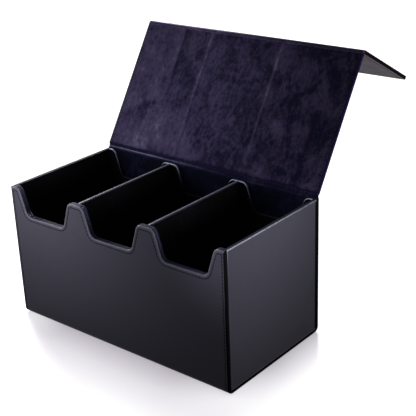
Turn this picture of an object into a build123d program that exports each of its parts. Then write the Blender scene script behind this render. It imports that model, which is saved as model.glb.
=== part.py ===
from build123d import *
import os
from math import cos, radians, sin, tan

# A three-row card box. A wrap of covered boards, which is front, base, back, lid
# and flap in one run, goes round an open tray with dividers. Millimetres, +Z up,
# +Y to the back, origin at the middle of the base. The lid stands open and its
# flap is folded back.

# Overall sizes of the box
box_width = 290.0
box_depth = 153.0
rim_height = 151.0
row_count = 3

# Sheet materials
cover_thickness = 0.9
lining_thickness = 0.8
wrap_board_thickness = 2.6
tray_board_thickness = 2.4

# Turned edges, folds and borders of the cover
edge_radius = 1.4
binding_radius = 0.7
fold_radius = 6.0
border_width = 1.5

# Finger notches in the front and in both notched walls of the tray
notch_depth = 30.7
notch_side_angle = 18.0
notch_top_radius = 7.0
notch_floor_radius = 8.0
tab_width = 21.0
corner_room_share = 0.9

# Lid and flap
lid_gap = 0.4
flap_gap = 0.4
flap_reach = 102.4
lid_groove = 1.7
flap_groove = 2.0
strip_thickness = 1.2
lid_open_angle = 122.8
flap_back_angle = 85.4

# Closing magnets in the flap and in the front
magnet_diameter = 12.0
magnet_thickness = 1.5
magnet_inset = 14.0
magnet_clearance = 0.1

# Every cut that ends in the open runs past its face by this much
overrun = 1.0

# Stacks of sheets
front_stack = cover_thickness + wrap_board_thickness
panel_stack = 2 * cover_thickness + wrap_board_thickness
wall_stack = tray_board_thickness + lining_thickness
side_stack = cover_thickness + wall_stack
divider_stack = tray_board_thickness + 2 * lining_thickness

# Planes of the box
side_face = box_width / 2
front_face = -box_depth / 2
back_face = box_depth / 2
tray_front = front_face + front_stack
tray_back = back_face - panel_stack
tray_bottom = front_stack
floor_top = tray_bottom + tray_board_thickness
wall_top = rim_height - cover_thickness
board_half = side_face - cover_thickness - tray_board_thickness
room_half = side_face - side_stack
inside_front = tray_front + tray_board_thickness
inside_back = tray_back - tray_board_thickness
room_front = tray_front + wall_stack
room_back = tray_back - wall_stack

# Rows and dividers, counted from the left
row_width = (2 * room_half - (row_count - 1) * divider_stack) / row_count
row_pitch = row_width + divider_stack
row_centres = [(k - (row_count - 1) / 2) * row_pitch for k in range(row_count)]
divider_centres = [(left + right) / 2 for left, right in zip(row_centres, row_centres[1:])]

# Hinge lines, each on the middle plane of the panels that it joins
lid_turn = radians(lid_open_angle)
flap_turn = radians(flap_back_angle)
up = Vector(0, 0, 1)
forward = Vector(0, -1, 0)
lid_run = Vector(0, -cos(lid_turn), sin(lid_turn))
lid_inward = Vector(0, -sin(lid_turn), -cos(lid_turn))
flap_inward = lid_inward * cos(flap_turn) + lid_run * sin(flap_turn)
lid_pivot = Vector(0, back_face - panel_stack / 2, rim_height + lid_gap + panel_stack / 2)
pivot_span = box_depth + flap_gap
flap_pivot = lid_pivot + lid_run * pivot_span
magnet_run = flap_reach - magnet_inset

# Panel planes: X across, Y along the panel away from its start, Z to its lined face
back_plane = Plane(origin=lid_pivot, x_dir=(1, 0, 0), z_dir=forward)
lid_plane = Plane(origin=lid_pivot, x_dir=(1, 0, 0), z_dir=lid_inward)
flap_plane = Plane(origin=flap_pivot, x_dir=(1, 0, 0), z_dir=flap_inward)


def block(x_span, y_span, z_span):
    """A square-edged block between pairs of planes."""
    spans = [sorted(span) for span in (x_span, y_span, z_span)]
    sizes = [high - low for low, high in spans]
    middle = [(low + high) / 2 for low, high in spans]
    return Pos(*middle) * Box(*sizes)


def notched_outline(half_width, bottom, inset):
    """The face of a notched wall, drawn in from its finished outline by the inset."""
    slope = radians(notch_side_angle)
    top = rim_height - inset
    notch_floor = top - notch_depth
    half_top = (row_pitch - tab_width) / 2 + inset / cos(slope) - inset * tan(slope)
    half_floor = half_top - notch_depth * tan(slope)
    corner = tan((radians(90) - slope) / 2)
    tab_room = (row_pitch / 2 - half_top) / corner * corner_room_share
    floor_room = half_floor / corner * corner_room_share
    top_radius = min(notch_top_radius - inset, tab_room)
    floor_radius = min(notch_floor_radius + inset, floor_room)
    points = [(-half_width, top)]
    radii = []
    for centre in row_centres:
        points += [(centre - half_top, top), (centre - half_floor, notch_floor)]
        points += [(centre + half_floor, notch_floor), (centre + half_top, top)]
        radii += [top_radius, floor_radius, floor_radius, top_radius]
    points.append((half_width, top))
    rim = FilletPolyline(*points, radius=radii)
    sides = Polyline((half_width, top), (half_width, bottom), (-half_width, bottom), (-half_width, top))
    return make_face(rim.edges() + sides.edges())


def notched_wall(half_width, bottom, inset, y_span):
    """A notched wall between two planes across the depth of the box."""
    start, end = y_span
    plane = Plane(origin=(0, start, 0), x_dir=(1, 0, 0), z_dir=forward)
    return extrude(plane * notched_outline(half_width, bottom, inset), amount=end - start, dir=-forward)


def disc(plane, x, y, z, radius, thickness):
    """A round disc that stands on the plane at a point of it."""
    return plane * Pos(x, y, z) * Cylinder(radius, thickness, align=(Align.CENTER, Align.CENTER, Align.MIN))


def magnet_row(plane, run, depth, radius):
    """One disc for each row of cards, in a line across the panel."""
    return [disc(plane, x, run, depth, radius, magnet_thickness) for x in row_centres]


def wrapped_panel(plane, run_from, run_to, turned_start):
    """A board in its turned cover, with a lining let into the border: cover, board, lining."""
    half = panel_stack / 2
    lined = half - cover_thickness
    board_x = side_face - cover_thickness
    lining_x = side_face - border_width
    board_run = (run_from + cover_thickness if turned_start else run_from, run_to - cover_thickness)
    lining_run = (run_from + border_width if turned_start else run_from, run_to - border_width)
    body = block((-side_face, side_face), (run_from, run_to), (-half, half))
    rims = body.edges()
    if not turned_start:
        rims = rims.filter_by(lambda edge: edge.center().Y > run_from)
    body = fillet(rims, edge_radius)
    board = block((-board_x, board_x), board_run, (-lined, lined))
    lining = block((-lining_x, lining_x), lining_run, (lined, lined + lining_thickness))
    window = block((-lining_x, lining_x), lining_run, (lined, half + overrun))
    return plane * (body - board - window), plane * board, plane * lining


def hinge_strip(pivot, run, inward, groove, bend):
    """The thin bonded strip in a hinge groove, bent back from the panel that it starts on."""
    start = pivot - run * groove
    centre = start - inward * (groove / tan(radians(bend) / 2))
    section = Plane(origin=start, x_dir=(1, 0, 0), z_dir=run)
    sheet = section * Rectangle(2 * (side_face - edge_radius), strip_thickness)
    return revolve(sheet, axis=Axis(centre, (-1, 0, 0)), revolution_arc=bend)


def front_panel():
    """The wrap's notched front: its cover, its board and the magnets under the cover."""
    shell = notched_wall(side_face, fold_radius, 0, (front_face, tray_front))
    rims = shell.faces().sort_by(Axis.Y)[0].edges().filter_by(lambda edge: edge.center().Z > fold_radius)
    board_span = (front_face + cover_thickness, tray_front)
    board = notched_wall(side_face - cover_thickness, fold_radius, cover_thickness, board_span)
    cover = fillet(rims, edge_radius) - board
    plane = Plane(origin=(0, board_span[0], lid_pivot.Z), x_dir=(1, 0, 0), z_dir=-forward)
    radius = magnet_diameter / 2
    for pocket in magnet_row(plane, magnet_run, 0, radius + magnet_clearance):
        board -= pocket
    return cover, board, Compound(children=magnet_row(plane, magnet_run, 0, radius))


def flap_panel():
    """The flap: its cover, its board, its lining and the magnets under the lining."""
    cover, board, lining = wrapped_panel(flap_plane, flap_groove, flap_reach, True)
    depth = panel_stack / 2 - cover_thickness - magnet_thickness
    radius = magnet_diameter / 2
    for pocket in magnet_row(flap_plane, magnet_run, depth, radius + magnet_clearance):
        board -= pocket
    return cover, board, lining, Compound(children=magnet_row(flap_plane, magnet_run, depth, radius))


def trough(depth):
    """The end view of the space within the wrap's base and folds, a given depth in from the outside."""
    tall = 2 * fold_radius
    return Pos(0, depth + tall / 2) * Rectangle(box_depth - 2 * depth, tall)


def rounded(space, radius):
    """A trough with its two lower corners rounded."""
    return fillet(space.vertices().group_by(Axis.Y)[0], radius)


def base_panel():
    """The wrap's base: a cover with both folds and turned ends, and its board."""
    above = Pos(0, 2 * fold_radius) * Rectangle(box_depth + overrun, 2 * fold_radius)
    outside = rounded(trough(0), fold_radius) - above
    sheet = Plane.YZ * (outside - rounded(trough(cover_thickness), fold_radius - cover_thickness))
    end = extrude(Plane.YZ * (outside - trough(front_stack)), amount=cover_thickness)
    cover = extrude(sheet, amount=side_face, both=True)
    cover += Pos(side_face - cover_thickness, 0, 0) * end
    cover += Pos(-side_face, 0, 0) * end
    board_x = side_face - cover_thickness
    board_y = back_face - fold_radius
    board = block((-board_x, board_x), (-board_y, board_y), (cover_thickness, front_stack))
    return cover, board


def side_wall(sign):
    """A side of the tray: its turned cover, its board and its lining."""
    outer, board_out, board_in, room = (
        sign * plane for plane in (side_face, side_face - cover_thickness, board_half, room_half)
    )
    body = block((room, outer), (tray_front, tray_back), (tray_bottom, rim_height))
    outer_rims = body.edges().filter_by(lambda edge: abs(edge.center().X) > board_half)
    outer_top = outer_rims.filter_by(Axis.Y).sort_by(Axis.Z)[-1:]
    body = fillet(outer_top + outer_rims.filter_by(Axis.Z), edge_radius)
    inner_rims = body.edges().filter_by(Axis.Y).filter_by(lambda edge: abs(edge.center().X) < board_half)
    body = fillet(inner_rims.sort_by(Axis.Z)[-1], binding_radius)
    turned = (tray_front + cover_thickness, tray_back - cover_thickness)
    board = block((board_in, board_out), turned, (tray_bottom, wall_top))
    past_room = room - sign * overrun
    under_lip = block((past_room, board_in), (tray_front - overrun, tray_back + overrun), (0, wall_top))
    lining = block((room, board_in), (inside_front, inside_back), (floor_top, wall_top))
    return body - board - under_lip, board, lining


def notched_tray_wall(board_span, binding_span):
    """A notched wall of the tray: its board and the binding over its rim."""
    board = notched_wall(board_half, tray_bottom, cover_thickness, board_span)
    rim = notched_wall(room_half, tray_bottom, 0, binding_span)
    binding = rim - notched_wall(room_half, tray_bottom, cover_thickness, binding_span)
    return board, binding


def row_linings(centre):
    """The linings of one row on its front wall, its back wall and its floor."""
    across = (centre - row_width / 2, centre + row_width / 2)
    walls = []
    for y_span in ((inside_front, room_front), (room_back, inside_back)):
        wall = notched_wall(room_half, floor_top, cover_thickness, y_span)
        walls.append(wall & block(across, y_span, (floor_top, rim_height)))
    floor = block(across, (room_front, room_back), (floor_top, floor_top + lining_thickness))
    return walls[0], walls[1], floor


def divider(centre):
    """A divider: its board, the binding over its rim and its two linings."""
    half_board = tray_board_thickness / 2
    half = divider_stack / 2
    inside = (inside_front, inside_back)
    board = block((centre - half_board, centre + half_board), inside, (floor_top, wall_top))
    binding = block((centre - half, centre + half), (room_front, room_back), (wall_top, rim_height))
    binding = fillet(binding.edges().filter_by(Axis.Y).group_by(Axis.Z)[-1], binding_radius)
    left = block((centre - half, centre - half_board), inside, (floor_top, wall_top))
    right = block((centre + half_board, centre + half), inside, (floor_top, wall_top))
    return board, binding, left, right


nodes = {}

# The wrap round the tray
nodes["front_cover"], nodes["front_board"], nodes["front_magnets"] = front_panel()
nodes["base_cover"], nodes["base_board"] = base_panel()
back_panel = wrapped_panel(back_plane, fold_radius - lid_pivot.Z, -lid_groove, False)
nodes["back_cover"], nodes["back_board"], nodes["back_lining"] = back_panel

# The tray
for side, sign in (("left", -1), ("right", 1)):
    parts = side_wall(sign)
    nodes[f"{side}_side_cover"], nodes[f"{side}_side_board"], nodes[f"{side}_side_lining"] = parts
front_wall = notched_tray_wall((tray_front, inside_front), (tray_front, room_front))
back_wall = notched_tray_wall((inside_back, tray_back), (room_back, tray_back))
nodes["tray_front_board"], nodes["tray_front_binding"] = front_wall
nodes["tray_back_board"], nodes["tray_back_binding"] = back_wall
inside = (inside_front, inside_back)
nodes["tray_floor_board"] = block((-board_half, board_half), inside, (tray_bottom, floor_top))
for k, centre in enumerate(divider_centres, 1):
    parts = divider(centre)
    nodes[f"divider_{k}_board"], nodes[f"divider_{k}_binding"] = parts[:2]
    nodes[f"divider_{k}_left_lining"], nodes[f"divider_{k}_right_lining"] = parts[2:]
for k, centre in enumerate(row_centres, 1):
    parts = row_linings(centre)
    nodes[f"row_{k}_front_lining"], nodes[f"row_{k}_back_lining"], nodes[f"row_{k}_floor_lining"] = parts

# The lid and its flap
lid_panel = wrapped_panel(lid_plane, lid_groove, pivot_span - flap_groove, True)
nodes["lid_cover"], nodes["lid_board"], nodes["lid_lining"] = lid_panel
nodes["lid_hinge_strip"] = hinge_strip(lid_pivot, up, forward, lid_groove, lid_open_angle - 90)
nodes["flap_cover"], nodes["flap_board"], nodes["flap_lining"], nodes["flap_magnets"] = flap_panel()
nodes["flap_hinge_strip"] = hinge_strip(flap_pivot, lid_run, lid_inward, flap_groove, flap_back_angle)

os.makedirs("parts", exist_ok=True)
for name, shape in nodes.items():
    export_step(shape, f"parts/{name}.step")
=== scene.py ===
import logging
from dataclasses import dataclass, replace
from enum import Enum
from math import atan2, cos, exp, pi, radians, sin, tan
from typing import Any, Callable, Sequence

import bmesh
import bpy
from mathutils import Matrix, Vector


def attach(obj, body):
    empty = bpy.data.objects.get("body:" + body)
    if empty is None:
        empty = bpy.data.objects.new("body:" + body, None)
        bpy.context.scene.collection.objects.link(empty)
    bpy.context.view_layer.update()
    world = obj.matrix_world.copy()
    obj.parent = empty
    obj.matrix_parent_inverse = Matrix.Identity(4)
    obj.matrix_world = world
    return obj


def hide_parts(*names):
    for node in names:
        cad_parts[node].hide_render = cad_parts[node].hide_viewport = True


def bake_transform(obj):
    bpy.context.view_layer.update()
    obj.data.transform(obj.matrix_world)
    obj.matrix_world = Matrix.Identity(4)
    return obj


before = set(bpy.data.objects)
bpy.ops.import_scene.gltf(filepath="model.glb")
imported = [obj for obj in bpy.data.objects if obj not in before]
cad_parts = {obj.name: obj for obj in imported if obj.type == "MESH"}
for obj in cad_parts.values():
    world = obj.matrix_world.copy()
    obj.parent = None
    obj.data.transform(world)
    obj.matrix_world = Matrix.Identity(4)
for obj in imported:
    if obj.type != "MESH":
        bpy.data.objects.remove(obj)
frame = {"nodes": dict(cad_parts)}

LOG = logging.getLogger("card_box")
MM = 0.001
VECTOR, VALUE = "NodeSocketVector", "NodeSocketFloat"
# The span that a noise mostly keeps to.
NOISE_SPAN = (0.3, 0.7)
Point = tuple[float, float]
Colour = tuple[float, float, float]
Seam = Sequence[tuple[Vector, Vector]]
Piece = bpy.types.Object
Material = bpy.types.Material
Tree = bpy.types.NodeTree
Node = bpy.types.Node
Socket = bpy.types.NodeSocket
Value = float | Socket
Shade = Colour | Socket
Sockets = dict[str, Socket]
Inputs = dict[str | int, Any]


class Body(Enum):
    """The moving bodies of the box."""

    BOX = "box"
    LID = "lid"
    FLAP = "flap"


class Slot(Enum):
    """The record's material slots of the dressed pieces."""

    LEATHERETTE = "leatherette"
    BINDING = "binding"
    HINGE = "hinge"
    LID_SUEDE = "lid_suede"
    ROW_SUEDE = "row_suede"


@dataclass(frozen=True)
class BoxSizes:
    """Sizes of the card box in millimetres, the same as those of its solids."""

    width: float = 290.0
    depth: float = 153.0
    rim: float = 151.0
    rows: int = 3
    cover: float = 0.9
    lining: float = 0.8
    wrap_board: float = 2.6
    tray_board: float = 2.4
    edge_radius: float = 1.4
    fold_radius: float = 6.0
    border: float = 1.5
    notch_depth: float = 30.7
    notch_angle: float = 18.0
    notch_top_radius: float = 7.0
    notch_floor_radius: float = 8.0
    tab: float = 21.0
    lid_gap: float = 0.4
    flap_gap: float = 0.4
    flap_reach: float = 102.4
    lid_groove: float = 1.7
    flap_groove: float = 2.0
    strip: float = 1.2
    lid_open: float = 122.8
    flap_back: float = 85.4
    stitch_inset: float = 3.9

    @property
    def half(self) -> float:
        """Half of the width."""
        return self.width / 2

    @property
    def front(self) -> float:
        """The front face, along Y."""
        return -self.depth / 2

    @property
    def back(self) -> float:
        """The back face, along Y."""
        return self.depth / 2

    @property
    def front_stack(self) -> float:
        """Thickness of the front and of the base."""
        return self.cover + self.wrap_board

    @property
    def panel(self) -> float:
        """Thickness of the back, the lid and the flap."""
        return 2 * self.cover + self.wrap_board

    @property
    def wall(self) -> float:
        """Thickness of a lined wall of the tray."""
        return self.tray_board + self.lining

    @property
    def divider(self) -> float:
        """Thickness of a divider."""
        return self.tray_board + 2 * self.lining

    @property
    def tray_front(self) -> float:
        """The tray's front, along Y."""
        return self.front + self.front_stack

    @property
    def tray_back(self) -> float:
        """The tray's back, along Y."""
        return self.back - self.panel

    @property
    def board_half(self) -> float:
        """Inner faces of the side boards, along X."""
        return self.half - self.cover - self.tray_board

    @property
    def room_half(self) -> float:
        """Inner faces of the side linings, along X."""
        return self.board_half - self.lining

    @property
    def room_front(self) -> float:
        """The rows' front, along Y."""
        return self.tray_front + self.wall

    @property
    def room_back(self) -> float:
        """The rows' back, along Y."""
        return self.tray_back - self.wall

    @property
    def floor_top(self) -> float:
        """Top of the tray's floor board."""
        return self.front_stack + self.tray_board

    @property
    def wall_top(self) -> float:
        """Top of the boards and linings, under the bindings."""
        return self.rim - self.cover

    @property
    def row_width(self) -> float:
        """Clear width of one row."""
        return (2 * self.room_half - (self.rows - 1) * self.divider) / self.rows

    @property
    def pitch(self) -> float:
        """Distance between the middles of two rows."""
        return self.row_width + self.divider

    @property
    def row_centres(self) -> list[float]:
        """Middles of the rows from the left."""
        return [(k - (self.rows - 1) / 2) * self.pitch for k in range(self.rows)]

    @property
    def divider_centres(self) -> list[float]:
        """Middles of the dividers from the left."""
        return [centre + self.pitch / 2 for centre in self.row_centres[:-1]]

    @property
    def lid_span(self) -> float:
        """Distance between the two hinge lines."""
        return self.depth + self.flap_gap


@dataclass(frozen=True)
class PanelFrame:
    """A flat panel's place: along it from its hinge line, and towards its lined face."""

    origin: Vector
    inward: Vector

    @property
    def run(self) -> Vector:
        """Direction along the panel, away from its hinge line."""
        return Vector((0.0, self.inward.z, -self.inward.y))

    def at(self, x: float, along: float, depth: float) -> Vector:
        """A point in metres, from its place on the panel in millimetres.

        Args:
            x: Place across the box.
            along: Distance from the hinge line.
            depth: Height over the middle plane, towards the lining.

        Returns:
            The point in the box's frame.
        """
        return (self.origin + Vector((x, 0, 0)) + self.run * along + self.inward * depth) * MM

    def hinged(self, distance: float, angle: float) -> "PanelFrame":
        """The frame of the next panel, folded back by an angle at a distance along this one."""
        turn = radians(angle)
        return PanelFrame(self.origin + self.run * distance, self.inward * cos(turn) + self.run * sin(turn))


def panel_frames(sizes: BoxSizes) -> tuple[PanelFrame, PanelFrame, PanelFrame]:
    """Frames of the back, the lid and the flap as the box stands open.

    Args:
        sizes: Sizes of the box.

    Returns:
        The three frames, each with its hinge line as origin.
    """
    pivot = Vector((0, sizes.back - sizes.panel / 2, sizes.rim + sizes.lid_gap + sizes.panel / 2))
    back = PanelFrame(pivot, Vector((0, -1, 0)))
    lid = back.hinged(0, sizes.lid_open - 90)
    return back, lid, lid.hinged(sizes.lid_span, sizes.flap_back)


def rounded_corner(before: Point, corner: Point, after: Point, radius: float, steps: int) -> list[Point]:
    """Points of the arc that rounds a corner.

    Args:
        before: The corner before it on the path.
        corner: The corner.
        after: The corner after it.
        radius: Radius of the arc.
        steps: Number of steps along the arc.

    Returns:
        One point more than there are steps.
    """
    here = Vector(corner)
    towards, onward = (here - Vector(before)).normalized(), (Vector(after) - here).normalized()
    turn = towards.angle(onward)
    start = here - towards * (radius * tan(turn / 2))
    side = (onward - towards * towards.dot(onward)).normalized()
    return [tuple(start + towards * (radius * sin(turn * k / steps))
                  + side * (radius * (1 - cos(turn * k / steps)))) for k in range(steps + 1)]


def notched_corners(sizes: BoxSizes, inset: float) -> list[tuple[Point, float]]:
    """Corners of the finger notches from left to right, drawn in by an inset.

    Args:
        sizes: Sizes of the box.
        inset: Distance in from the finished outline.

    Returns:
        Each corner as a place across and a drop below the rim, with its radius.
    """
    slope = radians(sizes.notch_angle)
    half_top = (sizes.pitch - sizes.tab) / 2 + inset / cos(slope) - inset * tan(slope)
    half_floor = half_top - sizes.notch_depth * tan(slope)
    drop = inset + sizes.notch_depth
    corners = []
    for centre in sizes.row_centres:
        corners += [((centre - half_top, inset), sizes.notch_top_radius - inset),
                    ((centre - half_floor, drop), sizes.notch_floor_radius + inset),
                    ((centre + half_floor, drop), sizes.notch_floor_radius + inset),
                    ((centre + half_top, inset), sizes.notch_top_radius - inset)]
    return corners


def rounded_path(corners: Sequence[tuple[Point, float]], start: Point, end: Point, steps: int) -> list[Point]:
    """The rounded corners of a path between two end points that stay out of it.

    Args:
        corners: Corners with their radii.
        start: The point before the first corner.
        end: The point after the last corner.
        steps: Steps along each arc.

    Returns:
        All points of the arcs in order.
    """
    places = [start] + [place for place, _ in corners] + [end]
    path: list[Point] = []
    for k, (place, radius) in enumerate(corners, 1):
        path += rounded_corner(places[k - 1], place, places[k + 1], radius, steps)
    return path


class Loft:
    """Gathers the points and faces of one closed mesh."""

    MERGE = 1e-7
    SHARP = radians(38)

    def __init__(self) -> None:
        """Starts with no points."""
        self.points: list[Vector] = []
        self.worn: list[float] = []
        self.pressed: list[float] = []
        self.cloth: list[Point] = []
        self.faces: list[Sequence[int]] = []
        self.finishes: list[int] = []

    def add(self, point: Vector, worn: float = 0.0, cloth: Point = (0.0, 0.0), pressed: float = 0.0) -> int:
        """Adds a point.

        Args:
            point: Its place.
            worn: How far wear, its nap and a painted highlight lighten it, or below zero how far its nap and painted
                shade darken it.
            cloth: Its place on the flat sheet.
            pressed: How far painted shade darkens it, in a sewn groove and on the top of a turned edge.

        Returns:
            Its number.
        """
        self.points.append(point)
        self.worn.append(worn)
        self.pressed.append(pressed)
        self.cloth.append(cloth)
        return len(self.points) - 1

    def face(self, corners: Sequence[int], finish: int = 0) -> None:
        """Adds one face of a finish."""
        self.faces.append(tuple(corners))
        self.finishes.append(finish)

    def bridge(self, first: Sequence[int], second: Sequence[int], closed: bool = True,
               finish: Callable[[int], int] = lambda k: 0) -> None:
        """Joins two rows of points by a band of four-sided faces.

        Args:
            first: Numbers of the first row.
            second: Numbers of the second row.
            closed: Whether the rows close on themselves.
            finish: Gives the finish of the k-th face.
        """
        count = len(first)
        for k in range(count if closed else count - 1):
            after = (k + 1) % count
            self.face((first[k], first[after], second[after], second[k]), finish(k))

    def sheet(self, top: Sequence[Sequence[int]], under: Sequence[Sequence[int]],
              under_finish: int = 0) -> None:
        """Closes two grids of points of the same size into a thick sheet.

        Args:
            top: Rows of numbers of the upper face.
            under: Rows of numbers of the under face.
            under_finish: Finish of the under face.
        """
        for grid, finish in ((top, 0), (under, under_finish)):
            for first, second in zip(grid, grid[1:]):
                self.bridge(first, second, False, lambda k, f=finish: f)
        for upper, lower in ((top[0], under[0]), (top[-1], under[-1]),
                             ([row[0] for row in top], [row[0] for row in under]),
                             ([row[-1] for row in top], [row[-1] for row in under])):
            self.bridge(upper, lower, False)

    def piece(self, name: str, *materials: Material) -> Piece:
        """Makes the object, with its faces outward, its seams closed and its curves smooth.

        Args:
            name: Name of the piece.
            materials: The finishes in the order of their numbers.

        Returns:
            The new object, at the origin.
        """
        mesh = bpy.data.meshes.new(name)
        mesh.from_pydata(self.points, [], self.faces)
        mesh.polygons.foreach_set("material_index", self.finishes)
        for key, values in (("worn", self.worn), ("pressed", self.pressed)):
            mesh.attributes.new(key, "FLOAT", "POINT").data.foreach_set("value", values)
        flat = mesh.uv_layers.new(name="cloth")
        for loop in mesh.loops:
            flat.data[loop.index].uv = self.cloth[loop.vertex_index]
        shape = bmesh.new()
        shape.from_mesh(mesh)
        bmesh.ops.remove_doubles(shape, verts=shape.verts, dist=self.MERGE)
        bmesh.ops.triangulate(shape, faces=[face for face in shape.faces if len(face.verts) > 4])
        bmesh.ops.recalc_face_normals(shape, faces=shape.faces)
        shape.to_mesh(mesh)
        shape.free()
        mesh.polygons.foreach_set("use_smooth", [True] * len(mesh.polygons))
        mesh.set_sharp_from_angle(angle=self.SHARP)
        for material in materials:
            mesh.materials.append(material)
        piece = bpy.data.objects.new(name, mesh)
        bpy.context.scene.collection.objects.link(piece)
        return piece


def dress(piece: Piece, body: Body, slot: Slot | None, *nodes: str) -> Piece:
    """Sets a piece on its body and hides the solids that it stands for.

    Args:
        piece: The piece.
        body: The body that it moves with.
        slot: The record's slot of its finish, or None; not used.
        nodes: Solids that it replaces.

    Returns:
        The piece.
    """
    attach(piece, body.value)
    if nodes:
        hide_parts(*nodes)
    LOG.info("%s: %d faces on %s", piece.name, len(piece.data.polygons), body.value)
    return piece


class Nodes:
    """Lays out the nodes of one tree."""

    # Numbers of a Mix node's colour sockets.
    MIX_COLOURS = (6, 7)
    MIX_RESULT = 2

    def __init__(self, tree: Tree) -> None:
        """Works on a tree."""
        self.tree = tree

    def fill(self, node: Node, inputs: Inputs) -> None:
        """Links or sets inputs of a node.

        Args:
            node: The node.
            inputs: Values or output sockets by the input's name or number.
        """
        for key, value in inputs.items():
            if isinstance(value, Socket):
                self.tree.links.new(value, node.inputs[key])
            else:
                node.inputs[key].default_value = value

    def add(self, kind: str, inputs: Inputs | None = None, **settings: Any) -> Node:
        """Adds a node, sets it and links or fills its inputs.

        Args:
            kind: The node's type.
            inputs: Values or output sockets by the input's name or number.
            settings: Settings of the node itself.

        Returns:
            The node.
        """
        node = self.tree.nodes.new(kind)
        for key, value in settings.items():
            setattr(node, key, value)
        self.fill(node, inputs or {})
        return node

    def math(self, operation: str, first: Value, second: Value = 0.0, third: Value = 0.0,
             clamp: bool = False) -> Socket:
        """A sum of values or sockets.

        Args:
            operation: The sum.
            first: First operand.
            second: Second operand.
            third: Third operand, where the sum has one.
            clamp: Whether the result is kept between 0 and 1.

        Returns:
            The result.
        """
        operands = {0: first, 1: second, 2: third}
        return self.add("ShaderNodeMath", operands, operation=operation, use_clamp=clamp).outputs[0]

    def mix(self, share: Value, first: Shade, second: Shade) -> Socket:
        """A colour between two colours.

        Args:
            share: Share of the second colour.
            first: First colour.
            second: Second colour.

        Returns:
            The mixed colour.
        """
        inputs: Inputs = {"Factor": share}
        for number, shade in zip(self.MIX_COLOURS, (first, second)):
            inputs[number] = shade if isinstance(shade, Socket) else (*shade, 1.0)
        return self.add("ShaderNodeMix", inputs, data_type="RGBA").outputs[self.MIX_RESULT]

    def span(self, value: Value, low: float, high: float, to_low: float = 0.0,
             to_high: float = 1.0) -> Socket:
        """A value carried smoothly from one span to another.

        Args:
            value: The value.
            low: Start of its span.
            high: End of its span.
            to_low: Start of the new span.
            to_high: End of the new span.

        Returns:
            The value in the new span.
        """
        spans = {"Value": value, "From Min": low, "From Max": high, "To Min": to_low, "To Max": to_high}
        return self.add("ShaderNodeMapRange", spans, interpolation_type="SMOOTHSTEP").outputs["Result"]

    def noise(self, vector: Socket, scale: float, detail: float = 3.0, rough: float = 0.55,
              bend: float = 0.0) -> Socket:
        """A noise value over a place.

        Args:
            vector: The place.
            scale: Fineness of the noise.
            detail: Number of its finer layers.
            rough: Strength of the finer layers.
            bend: How far the noise is bent.

        Returns:
            The noise, from 0 to 1.
        """
        look = {"Vector": vector, "Scale": scale, "Detail": detail, "Roughness": rough, "Distortion": bend}
        return self.add("ShaderNodeTexNoise", look).outputs["Fac"]

    def seen(self, path: Node) -> Socket:
        """One for rays of the eye, of reflections and of glass by a Light Path node, else zero."""
        seen = self.math("MAXIMUM", path.outputs["Is Camera Ray"], path.outputs["Is Glossy Ray"])
        return self.math("MAXIMUM", seen, path.outputs["Is Transmission Ray"])


def effect(name: str, inputs: dict[str, str], outputs: Sequence[str],
           lay: Callable[[Nodes, Sockets], Sockets]) -> Tree:
    """Makes a shader node group once.

    Args:
        name: Name of the group.
        inputs: Socket types by name.
        outputs: Names of the value outputs.
        lay: Lays the nodes, given the group's input sockets, and gives the values of its outputs.

    Returns:
        The group.
    """
    made = bpy.data.node_groups.get(name)
    if made:
        return made
    tree = bpy.data.node_groups.new(name, "ShaderNodeTree")
    for socket, kind in inputs.items():
        tree.interface.new_socket(socket, in_out="INPUT", socket_type=kind)
    for socket in outputs:
        tree.interface.new_socket(socket, in_out="OUTPUT", socket_type=VALUE)
    nodes = Nodes(tree)
    given, taken = nodes.add("NodeGroupInput"), nodes.add("NodeGroupOutput")
    nodes.fill(taken, lay(nodes, {s.name: s for s in given.outputs}))
    return tree


def grain_effect() -> Tree:
    """Pebbled grain of leatherette: small cells with creases between them.

    Returns:
        The group.
    """

    def lay(nodes: Nodes, given: Sockets) -> Sockets:
        """Cells, creases and a slow swell.

        Args:
            nodes: Nodes of the group.
            given: Its inputs by name.

        Returns:
            Its outputs by name.
        """
        swell = nodes.noise(given["Place"], scale=90.0, detail=2.0)
        shift = nodes.add("ShaderNodeTexNoise", {"Vector": given["Place"], "Scale": 700.0, "Detail": 1.0})
        small = nodes.add("ShaderNodeVectorMath", {0: shift.outputs["Color"], "Scale": 0.0006},
                          operation="SCALE")
        bent = nodes.add("ShaderNodeVectorMath", {0: given["Place"], 1: small.outputs[0]}, operation="ADD")
        cell = nodes.add("ShaderNodeTexVoronoi", {"Vector": bent.outputs[0], "Scale": given["Cells"]},
                         feature="DISTANCE_TO_EDGE")
        crease = nodes.span(cell.outputs["Distance"], 0.0, 0.28)
        height = nodes.math("MULTIPLY_ADD", crease, 0.8, swell)
        return {"Height": height, "Crease": nodes.math("SUBTRACT", 1.0, crease), "Swell": swell}

    return effect("leather_grain", {"Place": VECTOR, "Cells": VALUE}, ("Height", "Crease", "Swell"), lay)


def wear_effect() -> Tree:
    """Wear patches along the turned edges, laid over an edge share that also carries a painted highlight.

    Returns:
        The group.
    """

    def lay(nodes: Nodes, given: Sockets) -> Sockets:
        """Edge share broken up by noise.

        Args:
            nodes: Nodes of the group.
            given: Its inputs by name.

        Returns:
            Its outputs by name.
        """
        patch = nodes.span(nodes.noise(given["Place"], scale=210.0, detail=4.0), 0.38, 0.66)
        rub_and_painted_light = nodes.math("MULTIPLY", given["Edge"], nodes.math("MULTIPLY_ADD", patch, 0.35, 0.65))
        return {"Rubbed": nodes.math("MULTIPLY", rub_and_painted_light, given["Amount"], clamp=True)}

    return effect("edge_wear", {"Place": VECTOR, "Edge": VALUE, "Amount": VALUE}, ("Rubbed",), lay)


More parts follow.
